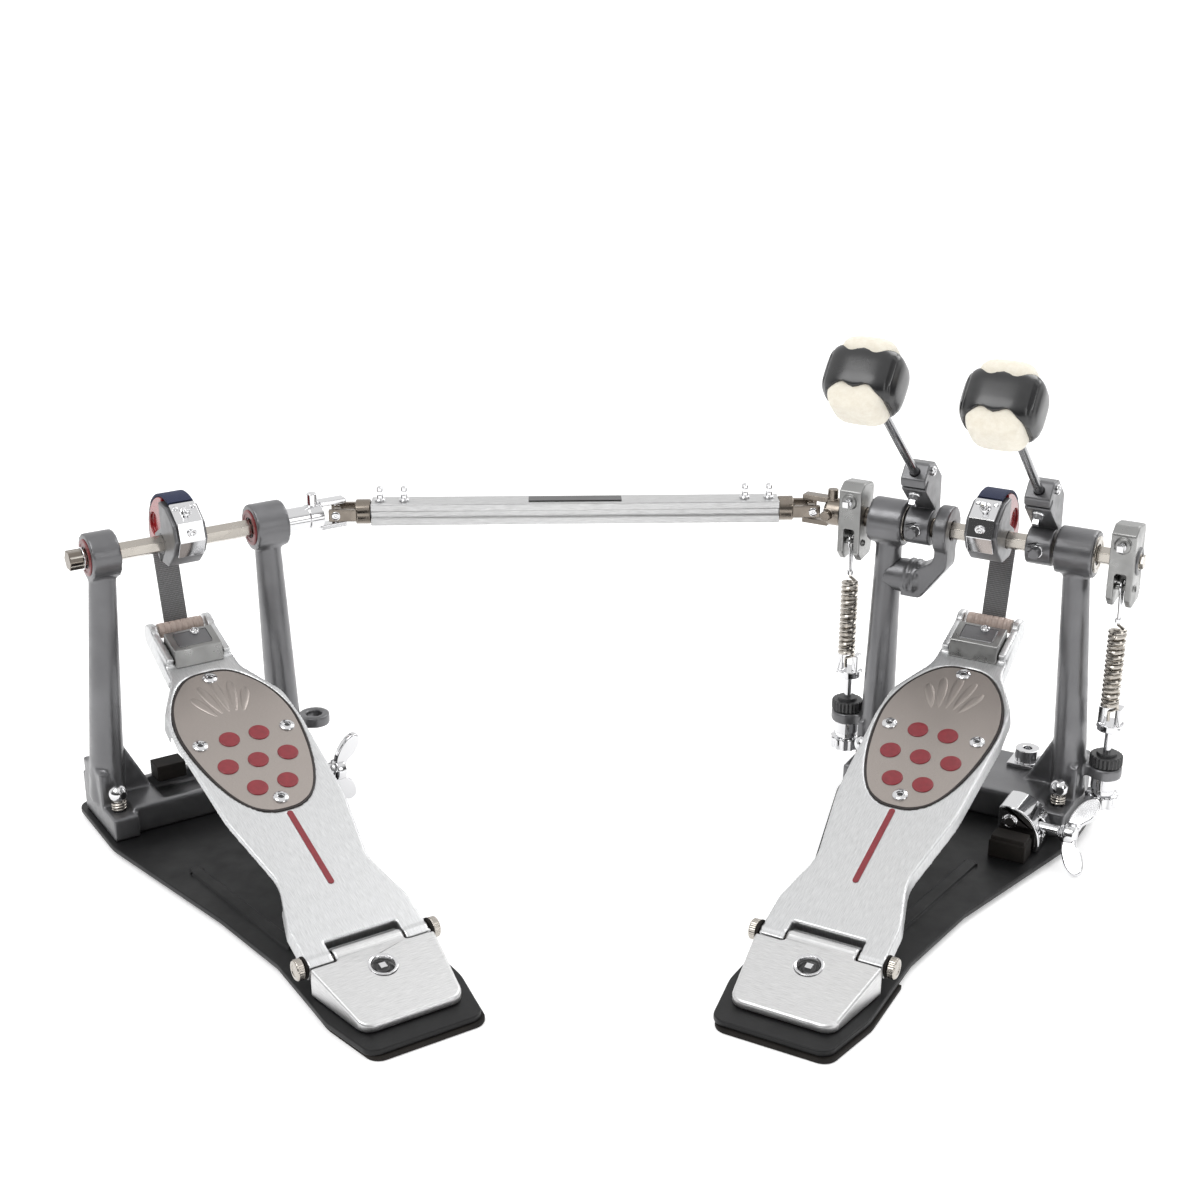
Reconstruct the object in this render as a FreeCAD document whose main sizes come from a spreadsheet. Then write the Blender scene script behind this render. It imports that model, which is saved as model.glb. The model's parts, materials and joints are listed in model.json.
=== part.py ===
import FreeCAD, Part

import math
import os
import re

import Sketcher
from FreeCAD import Placement, Rotation, Vector

# Double bass drum pedal. The row frame has X along the drive shaft, Y towards the drum and Z up.
# Each pedal has its own frame: X along its axle, Y towards the toe, Z up, origin on the floor under the axle.
# All sizes are in millimetres.

CELLS = {
    # where the two pedals stand
    "yaw": 31, "axle_z": 192, "joint_half": 163.7, "slave_reach": 114.6, "primary_reach": 129.4,
    "shift_x": -11.8, "shift_y": 183.2,
    # base plate
    "plate_z": 3, "plate_thick": 4, "plate_front": 32, "plate_shoulder": 42, "slave_toe_half": 76,
    "primary_toe_half": 83, "plate_mid_back": 165, "plate_mid_half": 51, "plate_waist_back": 232,
    "plate_waist_half": 42, "plate_heel_back": 300, "plate_heel_half": 43, "plate_end": 341,
    "plate_end_half": 35, "rib_x": 38, "rib_start": 104, "rib_long": 118, "rib_wide": 8, "rib_high": 1.6,
    "sole_front": 252, "sole_grow": 1.6, "nub_radius": 7, "sole_round": 9,
    # frame casting
    "housing_radius": 15.6, "bearing_bore": 6.45, "beam_front": 34, "beam_deep": 46, "beam_high": 19,
    "foot_wide": 17, "foot_front": 39, "foot_deep": 62, "foot_high": 40, "spur_block_high": 16,
    "spur_radius": 6, "lug_z": 38, "lug_thick": 8, "lug_radius": 11, "slave_left": -52,
    "slave_left_wide": 19, "slave_right": 62, "slave_right_wide": 23, "slave_left_foot": -64,
    "slave_right_foot": 66, "primary_right": 57.5, "primary_right_wide": 25, "primary_left": -71,
    "primary_left_wide": 24, "primary_right_foot": 66.5, "primary_left_foot": -72.5, "lug_y": 2,
    "hoop_wide": 66, "hoop_deep": 64, "hoop_x": 20, "hoop_high": 27,
    # springs
    "right_spring_x": 89, "left_spring_x": -96, "spring_radius": 6.2, "spring_low": 89,
    "spring_high": 146, "spring_y": -5, "link_eye": 5.8, "link_hole": 4.1, "tension_rod_radius": 2.6,
    "clevis_radius": 7.5, "black_nut_radius": 11, "black_nut_high": 9.5, "chrome_nut_radius": 11.5,
    "chrome_nut_high": 12, "chrome_nut_z": 17, "bush_radius": 8.5, "bush_high": 9,
    # footboard, measured from the heel hinge
    "hinge_back": 266, "hinge_z": 21.5, "board_tilt": 19.7, "board_top": 4.7, "board_thick": 4.2,
    "board_skirt": 11, "board_wall": 3.5, "board_ear": 5, "board_heel_half": 38.5, "flare_half": 38,
    "flare_s": 26, "waist_half": 29, "waist_s": 60, "mid_half": 39, "mid_s": 118, "bulge_half": 42,
    "bulge_s": 190, "shoulder_half": 40.5, "shoulder_s": 217, "neck_half": 24, "neck_s": 249,
    "toe_half": 22, "toe_s": 292, "notch_half": 22.8, "notch_s": 10, "pin_radius": 3, "ear_radius": 5.2,
    "knob_radius": 6.5, "knob_long": 5.3, "washer_radius": 6.9, "washer_thick": 1.4, "knob_x": 40.2,
    "oval_top_s": 248, "oval_low_s": 116, "oval_half": 37.5, "oval_mid_s": 190, "inset_deep": 2,
    "inset_thick": 2.2, "gasket_wide": 1.7, "dot_radius": 6.65, "dot_gap_x": 20, "dot_gap_s": 23,
    "dot_mid_s": 160.8, "dot_high": 0.7, "stripe_s": 49, "stripe_long": 64, "stripe_wide": 3.8,
    "stripe_high": 0.25, "screw_radius": 5, "screw_high": 1.8, "screw_top_s": 242.4,
    "screw_side_s": 183.9, "screw_side_x": 29.3, "screw_low_s": 125.1, "clamp_s": 258, "clamp_half": 16.5,
    "clamp_top_s": 263, "clamp_high": 10, "clamp_end_s": 284, "roller_s": 297, "roller_n": 1.3,
    "roller_radius": 5.2, "roller_half": 15.5, "lug_s": 296, "cheek_thick": 5, "cheek_radius": 9,
    "cheek_n": -1.7,
    # heel plate
    "heel_gap": 7.6, "heel_half": 39.4, "heel_end": 326, "heel_end_half": 31, "heel_round": 9,
    "heel_front_z": 25, "heel_back_z": 12.5, "heel_hole": 7.2, "heel_hole_y": 287, "tongue_half": 21.8,
    "tongue_y": 259,
    # axles and cams
    "hex_across": 10.6, "slave_hex_start": -64, "slave_hex_end": 76, "bolt_head": 11, "cam_half": 11,
    "belt_half": 8.2, "wheel_radius": 30.5, "belt_thick": 2, "hex_slack": 0.1, "plate_half": 8.6,
    "primary_hex_start": -33, "primary_hex_end": 97.5, "collar_radius": 8, "collar_start": 75,
    "collar_end": 101, "spring_cam_half": 8, "spring_cam_top": 25, "spring_cam_low": 28,
    "spring_cam_front": 13, "spring_cam_back": 11, "slot_half": 3.6, "pin_z": 17, "pin_y": 6,
    "stub_radius": 6.4, "stub_start": -118, "stub_end": -39.5,
    # belts
    "belt_low_y": 24, "belt_low_z": 106, "belt_top_y": 31.38, "belt_top_drop": 2.9,
    # beater holders and beaters
    "beater_tilt": 50, "right_holder_x": 34, "left_holder_x": -49, "holder_half": 8.5,
    "holder_radius": 12.5, "rod_offset": 20, "rod_radius": 3, "rod_low": 8, "rod_top": 165,
    "holder_low": 10, "holder_top": 43, "holder_front": 10, "holder_back": 33, "head_at": 166,
    "felt_half_x": 17, "felt_half_y": 25, "felt_half_z": 16.8, "shell_half_x": 24, "shell_half_y": 20,
    "shell_half_z": 20, "barrel_radius": 26.2, "right_drop": 4, "left_rise": 5, "key_radius": 3.6,
    # drive shaft
    "sleeve_start": -140.2, "sleeve_end": 140.7, "sleeve_wide": 18, "sleeve_high": 15.4,
    "groove_wide": 4.5, "groove_deep": 2.2, "sleeve_bore": 6.35, "slide_rod_radius": 6,
    "slide_rod_long": 120, "yoke_radius": 8.5, "yoke_hub_start": 13, "yoke_hub_end": 23,
    "yoke_arm_in": 6.6, "yoke_arm_out": 10.2, "yoke_arm_half": 4.2, "yoke_arm_tip": 5, "cross_half": 2.6,
    "cross_pin_radius": 2, "sleeve_screw_out": 134, "sleeve_screw_in": 117.4,
    # loop arm
    "arm_z": 155, "arm_radius": 11.6, "eye_x": -31.5, "eye_half": 4.5, "eye_radius": 16.5, "arm_end": -46,
    # hoop clamp
    "collar_x": 32, "collar_y": 17, "clamp_collar_radius": 8.2, "clamp_collar_high": 9,
    "clamp_square": 11, "jaw_x": 46, "jaw_back": 44, "jaw_long": 26, "jaw_radius": 22, "jaw_thick": 4.5,
    "jaw_z": 14, "block_x": 40, "block_y": 88, "block_wide": 24, "block_deep": 15, "block_high": 15,
    "wing_y": 59, "wing_z": 21, "wing_x": 85, "wing_long": 28, "wing_thick": 4, "wing_screw_radius": 4,
    "wing_screw_long": 26, "slave_wing_z": 33, "slave_wing_y": 66, "slave_wing_x": 76,
}

doc = FreeCAD.newDocument("double_pedal")
sheet = doc.addObject("Spreadsheet::Sheet", "Size")
for row, (alias, amount) in enumerate(CELLS.items(), start=1):
    sheet.set("A%d" % row, str(amount))
    sheet.setAlias("A%d" % row, alias)
doc.recompute()

NODES = []
TO_X = Rotation(Vector(0, 1, 0), 90)
TO_Y = Rotation(Vector(1, 0, 0), -90)
UPRIGHT = Rotation()


def bound(text):
    """An expression with every cell name pointed at the sheet."""
    return re.sub(r"[a-z][a-z_]+", lambda m: "Size." + m.group() if m.group() in CELLS else m.group(), text)


def number(text):
    """The value of a sum of cells and numbers, such as 'toe_half - board_wall'."""
    total = 0.0
    for sign, word in re.findall(r"([+-]?)\s*([a-z_]+|[\d.]+)", text):
        amount = getattr(sheet, word) if word in CELLS else float(word)
        total += -amount if sign == "-" else amount
    return total


def made(obj, name, place=None):
    """Registers obj as a sub-part with its own label and placement."""
    obj.Label = name
    if place is not None:
        obj.Placement = place
    NODES.append(obj)
    return obj


def primitive(kind, name, sizes, at=("0", "0", "0"), turn=UPRIGHT):
    obj = doc.addObject("Part::" + kind, name)
    for prop, text in sizes.items():
        obj.setExpression(prop, bound(text))
    obj.Placement = Placement(Vector(), turn)
    for axis, text in zip("xyz", at):
        obj.setExpression("Placement.Base." + axis, bound(text))
    return obj


def rod(name, radius, length, at, turn=UPRIGHT):
    return primitive("Cylinder", name, {"Radius": radius, "Height": length}, at, turn)


def block(name, size, at, turn=UPRIGHT):
    return primitive("Box", name, dict(zip(("Length", "Width", "Height"), size)), at, turn)


def prism(name, across, length, at, turn=UPRIGHT):
    """A hexagonal bar, given its size across the flats."""
    sizes = {"Circumradius": "(%s) / sqrt(3)" % across, "Height": length}
    obj = primitive("Prism", name, sizes, at, turn)
    obj.Polygon = 6
    return obj


def join(name, objs):
    obj = doc.addObject("Part::MultiFuse", name)
    obj.Shapes = objs
    return obj


def cut(name, base, tools):
    obj = doc.addObject("Part::Cut", name)
    obj.Base = base
    obj.Tool = tools[0] if len(tools) == 1 else join(name + "_tools", tools)
    return obj


def group(name, objs):
    obj = doc.addObject("Part::Compound", name)
    obj.Links = objs
    return obj


def origin_plane(body, role):
    return [f for f in body.Origin.OriginFeatures if f.Role == role][0]


def sketch_outline(body, name, role, points, offset="0"):
    """A closed outline of straight runs, each corner bound to the sheet."""
    sketch = body.newObject("Sketcher::SketchObject", name)
    sketch.AttachmentSupport = [(origin_plane(body, role), "")]
    sketch.MapMode = "FlatFace"
    sketch.setExpression("AttachmentOffset.Base.z", bound(offset))
    spots = [(number(a), number(b)) for a, b in points]
    count = len(spots)
    for i in range(count):
        sketch.addGeometry(Part.LineSegment(Vector(*spots[i], 0), Vector(*spots[(i + 1) % count], 0)))
    for i in range(count):
        sketch.addConstraint(Sketcher.Constraint("Coincident", i, 2, (i + 1) % count, 1))
    for i, (spot, texts) in enumerate(zip(spots, points)):
        for kind, value, text in zip(("DistanceX", "DistanceY"), spot, texts):
            index = sketch.addConstraint(Sketcher.Constraint(kind, -1, 1, i, 1, value))
            sketch.renameConstraint(index, "%s%d" % (kind, i))
            sketch.setExpression("Constraints.%s%d" % (kind, i), bound(text))
    return sketch


def pad(body, sketch, length, both=False):
    feature = body.newObject("PartDesign::Pad", body.Name + "_pad")
    feature.Profile = sketch
    feature.setExpression("Length", bound(length))
    feature.Midplane = both
    doc.recompute()
    return feature


def pocket(body, sketch, length, reverse=False):
    before = body.Shape.Volume
    feature = body.newObject("PartDesign::Pocket", body.Name + "_pocket")
    feature.Profile = sketch
    feature.setExpression("Length", bound(length))
    feature.Reversed = reverse
    doc.recompute()
    if body.Shape.Volume >= before - 1:
        raise RuntimeError("the pocket in %s removes nothing" % body.Name)
    return feature


def along(shape, direction):
    """Names of the straight edges that run along a direction."""
    names = []
    for i, edge in enumerate(shape.Edges):
        straight = edge.Curve.TypeId == "Part::GeomLine"
        if straight and abs(edge.tangentAt(edge.FirstParameter).dot(direction)) > 0.999:
            names.append((i, edge))
    return names


def round_corners(body, feature, direction, corners):
    """Rounds the edges that stand at the given corners; corners maps a radius to its points."""
    last = feature
    for k, (radius, spots) in enumerate(corners.items()):
        names = []
        for i, edge in along(last.Shape, direction):
            start = edge.Vertexes[0].Point
            flat = start - direction * start.dot(direction)
            if min((flat - spot).Length for spot in spots) < 0.01:
                names.append("Edge%d" % (i + 1))
        if len(names) != len(spots):
            raise RuntimeError("%d of %d corners found in %s" % (len(names), len(spots), body.Name))
        fillet = body.newObject("PartDesign::Fillet", "%s_round%d" % (body.Name, k))
        fillet.Base = (last, names)
        fillet.setExpression("Radius", bound(radius))
        doc.recompute()
        if fillet.Shape.isNull():
            raise RuntimeError("radius %s fails in %s" % (radius, body.Name))
        last = fillet
    return last


def plate_body(name, role, points, length, rounds=(), both=False, offset="0"):
    """A padded outline with rounded corners; rounds is a list of (corner number, radius)."""
    body = doc.addObject("PartDesign::Body", name)
    feature = pad(body, sketch_outline(body, name + "_outline", role, points, offset), length, both)
    direction = {"XY_Plane": Vector(0, 0, 1), "YZ_Plane": Vector(1, 0, 0), "XZ_Plane": Vector(0, 1, 0)}[role]
    corners = {}
    for index, radius in rounds:
        a, b = (number(t) for t in points[index])
        spot = {"XY_Plane": Vector(a, b, 0), "YZ_Plane": Vector(0, a, b), "XZ_Plane": Vector(a, 0, b)}[role]
        corners.setdefault(radius, []).append(spot)
    round_corners(body, feature, direction, corners)
    return body


def mirrored(points):
    """Adds the mirror image of an outline's right half, given from front to back."""
    left = [(a[1:] if a.startswith("-") else "-" + a, b) for a, b in reversed(points)]
    return points + left


def slave_frame():
    turn = Rotation(Vector(0, 0, 1), sheet.yaw)
    base = Vector(-sheet.joint_half, 0, 0) - turn.multVec(Vector(sheet.slave_reach, 0, 0))
    return Placement(base + Vector(sheet.shift_x, sheet.shift_y, 0), turn)


def primary_frame():
    turn = Rotation(Vector(0, 0, 1), -sheet.yaw)
    base = Vector(sheet.joint_half, 0, 0) + turn.multVec(Vector(sheet.primary_reach, 0, 0))
    return Placement(base + Vector(sheet.shift_x, sheet.shift_y, 0), turn)


def drive_frame():
    return Placement(Vector(sheet.shift_x, sheet.shift_y, sheet.axle_z), Rotation())


def board_frame(pedal):
    """Origin on the board's top surface, straight above the hinge axis."""
    hinge = Placement(Vector(0, -sheet.hinge_back, sheet.hinge_z),
                      Rotation(Vector(1, 0, 0), sheet.board_tilt))
    return pedal.multiply(hinge).multiply(Placement(Vector(0, 0, sheet.board_top), Rotation()))


def axle_frame(pedal):
    return pedal.multiply(Placement(Vector(0, 0, sheet.axle_z), Rotation()))


def beater_frame(pedal, holder_x):
    tilt = Rotation(Vector(1, 0, 0), sheet.beater_tilt)
    return pedal.multiply(Placement(Vector(number(holder_x), 0, sheet.axle_z), tilt))


def raised(height):
    return Placement(Vector(0, 0, number(height)), Rotation())


# ---------------------------------------------------------------- stands


def base_plate(prefix, place):
    half = prefix + "_toe_half"
    right = [(half, "plate_front"), (half, "-plate_shoulder"), ("plate_mid_half", "-plate_mid_back"),
             ("plate_waist_half", "-plate_waist_back"), ("plate_heel_half", "-plate_heel_back"),
             ("plate_end_half", "-plate_end")]
    rounds = [(0, "10"), (11, "10"), (1, "50"), (10, "50"), (4, "40"), (7, "40"), (5, "9"), (6, "9")]
    body = plate_body(prefix + "_plate_body", "XY_Plane", mirrored(right), "plate_thick", rounds,
                      offset="plate_z")
    ribs = []
    for side in (1, -1):
        name = "%s_rib_%d" % (prefix, side + 1)
        lean = Rotation(Vector(0, 0, 1), 180 - side * 7.5)
        at = ("%d * rib_x" % side, "-rib_start", "plate_z + plate_thick - 0.5")
        bar = block(name, ("rib_wide", "rib_long", "rib_high + 0.5"), at, lean)
        ends = rod(name + "_end", "rib_wide / 2", "rib_high + 0.5",
                   ("%d * rib_x - rib_wide / 2" % side, "-rib_start - %d * 0.5" % side,
                    "plate_z + plate_thick - 0.5"))
        ribs += [bar, ends]
    made(join(prefix + "_base_plate", [body] + ribs), prefix + "_base_plate", place)


def rubber_sole(prefix, place, pad_block):
    grow = " + sole_grow"
    right = [("plate_waist_half" + grow, "-sole_front"), ("plate_heel_half" + grow, "-plate_heel_back"),
             ("plate_end_half" + grow, "-plate_end - sole_grow")]
    body = plate_body(prefix + "_sole_body", "XY_Plane", mirrored(right), "plate_z",
                      [(2, "sole_round"), (3, "sole_round"), (1, "30"), (4, "30")])
    pieces = [body]
    for i, (sx, back) in enumerate(((1, 0), (-1, 0), (1, 45), (-1, 45))):
        at = ("%d * (%s_toe_half - 12 - %s)" % (sx, prefix, back / 6), "14 - %d" % back, "0")
        pieces.append(rod("%s_nub_%d" % (prefix, i), "nub_radius", "plate_z", at))
    if pad_block:
        top = "plate_z + plate_thick + beam_high"
        pieces.append(block(prefix + "_pad_block", ("20", "15", "11"), ("-30", "-6", top)))
    else:
        floor = "plate_z + plate_thick"
        low = block("hoop_block_low", ("block_wide", "block_deep", "block_high - 3"),
                    ("block_x", "-block_y", floor))
        cap = block("hoop_block_cap", ("block_wide - 2", "block_deep - 2", "3"),
                    ("block_x + 1", "1 - block_y", floor + " + block_high - 3"))
        pieces.append(join("hoop_block", [low, cap]))
    made(group(prefix + "_rubber", pieces), prefix + "_rubber", place)


def upright(name, centre, foot):
    """A tapering column from a foot to its bearing housing, lofted through three rounded sections."""
    sections = []
    top_x, foot_x = number(centre), number(foot)
    levels = ((sheet.axle_z - 12, 0.0, 8.6, 9.5), (110.0, 0.45, 9.8, 12.5), (22.0, 1.0, 11.0, 16.5))
    for level, share, half_x, half_y in levels:
        x = top_x + (foot_x - top_x) * share
        ellipse = Part.Ellipse(Vector(x, half_y, level), Vector(x - half_x, 0, level), Vector(x, 0, level))
        sections.append(Part.Wire([ellipse.toShape()]))
    obj = doc.addObject("Part::Feature", name)
    obj.Shape = Part.makeLoft(sections, True)
    return obj


def housing(name, centre, wide):
    return rod(name, "housing_radius", wide, (centre + " - %s / 2" % wide, "0", "axle_z"), TO_X)


def foot(name, centre, outward):
    """A stepped foot: a low block in front that holds the spur screw and a taller block behind it."""
    side = "%s - foot_wide / 2" % centre
    floor = "plate_z + plate_thick"
    tall = block(name + "_tall", ("foot_wide", "foot_deep - 26", "foot_high - 12"),
                 (side, "26 - foot_front", floor))
    low = block(name + "_low", ("foot_wide", "28", "spur_block_high"), (side, "-foot_front", floor))
    web = block(name + "_web", ("5", "34", "foot_high"),
                ("%s + %d * 6 - 2.5" % (centre, outward), "-16", floor))
    return [tall, low, web]


def spring_lug(name, centre, reach):
    """A flat lug that carries the spring's threaded rod."""
    start = "%s - %s" % (centre, reach) if number(centre) > 0 else centre
    arm = block(name + "_arm", (reach, "14", "lug_thick"), (start, "lug_y - 7", "lug_z"))
    ear = rod(name + "_ear", "lug_radius", "lug_thick", (centre, "lug_y", "lug_z"))
    return [arm, ear]


def frame_casting(prefix, place, left, right, lugs):
    floor = "plate_z + plate_thick"
    left_c, left_w, left_f = left
    right_c, right_w, right_f = right
    beam_at = (left_f + " + 6.5", "-beam_front", floor)
    beam = block(prefix + "_beam", ("%s - (%s) - 13" % (right_f, left_f), "beam_deep", "beam_high"), beam_at)
    solids = [beam]
    solids += [housing(prefix + "_housing_l", left_c, left_w),
               housing(prefix + "_housing_r", right_c, right_w)]
    solids += [upright(prefix + "_upright_l", left_c, left_f),
               upright(prefix + "_upright_r", right_c, right_f)]
    solids += foot(prefix + "_foot_l", left_f, -1) + foot(prefix + "_foot_r", right_f, 1)
    for name, centre, reach in lugs:
        solids += spring_lug(prefix + name, centre, reach)
    for name, base, inward in (("_gusset_l", left_f, 1), ("_gusset_r", right_f, -1)):
        points = [(base, "70"), (base + " + %d" % (inward * 12) if inward > 0 else base + " - 12", "60"),
                  (base + " + 30" if inward > 0 else base + " - 30", "24"), (base, "24")]
        web = plate_body(prefix + name, "XZ_Plane", points, "12", both=True)
        solids.append(web)
    if prefix == "primary":
        hoop_at = ("hoop_x - hoop_wide / 2", "-beam_front + 1", floor)
        solids.append(block("primary_hoop_seat", ("hoop_wide", "hoop_deep", "hoop_high - 7"), hoop_at))
    casting = join(prefix + "_casting", solids)
    bores = [rod(prefix + "_bore_l", "bearing_bore", left_w + " + 40",
                 (left_c + " - %s / 2 - 20" % left_w, "0", "axle_z"),
                 TO_X),
             rod(prefix + "_bore_r", "bearing_bore", right_w + " + 40",
                 (right_c + " - %s / 2 - 20" % right_w, "0", "axle_z"), TO_X),
             rod(prefix + "_spur_bore_l", "3.2", "30",
                 (left_f, "-foot_front + 14", "plate_z + plate_thick + 4")),
             rod(prefix + "_spur_bore_r", "3.2", "30",
                 (right_f, "-foot_front + 14", "plate_z + plate_thick + 4")),
             block(prefix + "_channel", ("%s - (%s) - 60" % (right_f, left_f), "beam_deep - 12",
                                         "beam_high - 9"),
                   (left_f + " + 30", "6 - beam_front", "plate_z + plate_thick + 9"))]
    for name, centre, reach in lugs:
        bores.append(rod(prefix + name + "_bore", "bush_radius - 3", "40", (centre, "lug_y", "lug_z - 15")))
    if prefix == "primary":
        bores.pop(4)
    else:
        bores.append(rod("slave_wing_bore", "wing_screw_radius + 0.15", "60",
                         ("slave_wing_x - 40", "-slave_wing_y", "slave_wing_z"), TO_X))
    return made(cut(prefix + "_frame", casting, bores), prefix + "_frame", place)


def heel_plate(prefix, place):
    """The fixed wedge behind the heel hinge, with the tongue that carries the hinge pin."""
    floor = "plate_z + plate_thick"
    right = [("tongue_half", "-tongue_y"), ("tongue_half", "-hinge_back - heel_gap"),
             ("heel_half", "-hinge_back - heel_gap"), ("heel_end_half", "-heel_end")]
    plan = plate_body(prefix + "_heel_plan", "XY_Plane", mirrored(right),
                      "heel_front_z - plate_z - plate_thick",
                      [(3, "heel_round"), (4, "heel_round")], offset=floor)
    side = [("-tongue_y", floor), ("-tongue_y", "heel_front_z"), ("-hinge_back - heel_gap", "heel_front_z"),
            ("-heel_end", "heel_back_z"), ("-heel_end", floor)]
    profile = plate_body(prefix + "_heel_profile", "YZ_Plane", side, "100", both=True)
    wedge = doc.addObject("Part::Common", prefix + "_heel_wedge")
    wedge.Base = plan
    wedge.Tool = profile
    knuckle = rod(prefix + "_knuckle", "ear_radius", "2 * tongue_half",
                  ("-tongue_half", "-hinge_back", "hinge_z"), TO_X)
    solid = join(prefix + "_heel_solid", [wedge, knuckle])
    lean = Rotation(Vector(1, 0, 0), math.degrees(math.atan2(
        number("heel_front_z - heel_back_z"), number("heel_end - hinge_back - heel_gap"))))
    tools = [rod(prefix + "_heel_bore", "pin_radius + 0.05", "100", ("-50", "-hinge_back", "hinge_z"), TO_X),
             rod(prefix + "_heel_hole", "heel_hole", "12", ("0", "-heel_hole_y", "heel_back_z + 5"), lean)]
    made(cut(prefix + "_heel_plate", solid, tools), prefix + "_heel_plate", place)


def heel_pin(prefix, place):
    pin = rod(prefix + "_pin", "pin_radius", "2 * (knob_x + knob_long)",
              ("-knob_x - knob_long", "-hinge_back", "hinge_z"),
              TO_X)
    knobs = [rod("%s_knob_%d" % (prefix, i), "knob_radius", "knob_long", (at, "-hinge_back", "hinge_z"),
                 TO_X)
             for i, at in enumerate(("knob_x", "-knob_x - knob_long"))]
    washers = [rod("%s_washer_%d" % (prefix, i), "washer_radius", "washer_thick",
                   (at, "-hinge_back", "hinge_z"), TO_X)
               for i, at in enumerate(("knob_x - washer_thick", "-knob_x"))]
    made(join(prefix + "_heel_pin", [pin] + knobs + washers), prefix + "_heel_pin", place)


def spur_screws(prefix, place, feet):
    screws = []
    for i, centre in enumerate(feet):
        top = "plate_z + plate_thick + spur_block_high"
        y = "-foot_front + 14"
        shank = rod("%s_spur_shank_%d" % (prefix, i), "3", "22", (centre, y, top + " - 8"))
        coil = rod("%s_spur_coil_%d" % (prefix, i), "5.2", "8", (centre, y, top + " + 0.2"))
        ball = primitive("Sphere", "%s_spur_ball_%d" % (prefix, i), {"Radius": "spur_radius"},
                         (centre, y, top + " + 12"))
        screws.append(join("%s_spur_%d" % (prefix, i), [shank, coil, ball]))
    made(group(prefix + "_spur_screws", screws), prefix + "_spur_screws", place)


def wing_screw(prefix, place, at):
    """Threaded shank along X with a flat two-armed wing across it."""
    x, y, z = at
    shank = rod(prefix + "_wing_shank", "wing_screw_radius", "wing_screw_long + wing_thick",
                ("%s - wing_screw_long" % x, y, z), TO_X)
    hub = rod(prefix + "_wing_hub", "7.5", "7", ("%s - 4" % x, y, z), TO_X)
    tilt = Rotation(Vector(1, 0, 0), 28)
    wings = []
    for i, sign in enumerate((1, -1)):
        name = "%s_wing_arm_%d" % (prefix, i)
        box = block(name + "_flat", ("wing_thick", "wing_long - 8", "15"),
                    ("0", "0" if sign > 0 else "8 - wing_long", "-7.5"))
        tip = rod(name + "_tip", "8.5", "wing_thick", ("0", "%d * (wing_long - 9)" % sign, "0"), TO_X)
        wings += [box, tip]
    blade = join(prefix + "_wing_blade", wings)
    blade.Placement = Placement(Vector(number(x), number(y), number(z)), tilt)
    made(join(prefix + "_wing_screw", [shank, hub, blade]), prefix + "_wing_screw", place)


# ---------------------------------------------------------------- footboards


def oval_points(grow):
    """Points of the inset's egg-shaped outline, widest two thirds of the way up."""
    top, low, mid = sheet.oval_top_s + grow, sheet.oval_low_s - grow, sheet.oval_mid_s
    half = sheet.oval_half + grow
    right = [(0.42, top - 3.5), (0.8, 227.0), (0.985, 205.0), (0.99, 182.0), (0.85, 152.0), (0.6, 128.0),
             (0.3, low + 2)]
    side = [Vector(half * share, s, 0) for share, s in right]
    other = [Vector(-p.x, p.y, 0) for p in reversed(side)]
    return [Vector(0, top, 0)] + side + [Vector(0, low, 0)] + other


def oval_body(name, grow, length, offset, reverse=False):
    """A padded oval; its outline is one closed spline."""
    body = doc.addObject("PartDesign::Body", name)
    sketch = body.newObject("Sketcher::SketchObject", name + "_outline")
    sketch.AttachmentSupport = [(origin_plane(body, "XY_Plane"), "")]
    sketch.MapMode = "FlatFace"
    sketch.setExpression("AttachmentOffset.Base.z", bound(offset))
    curve = Part.BSplineCurve()
    curve.interpolate(oval_points(grow), PeriodicFlag=True)
    sketch.addGeometry(curve)
    pad(body, sketch, length)
    return body


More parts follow.
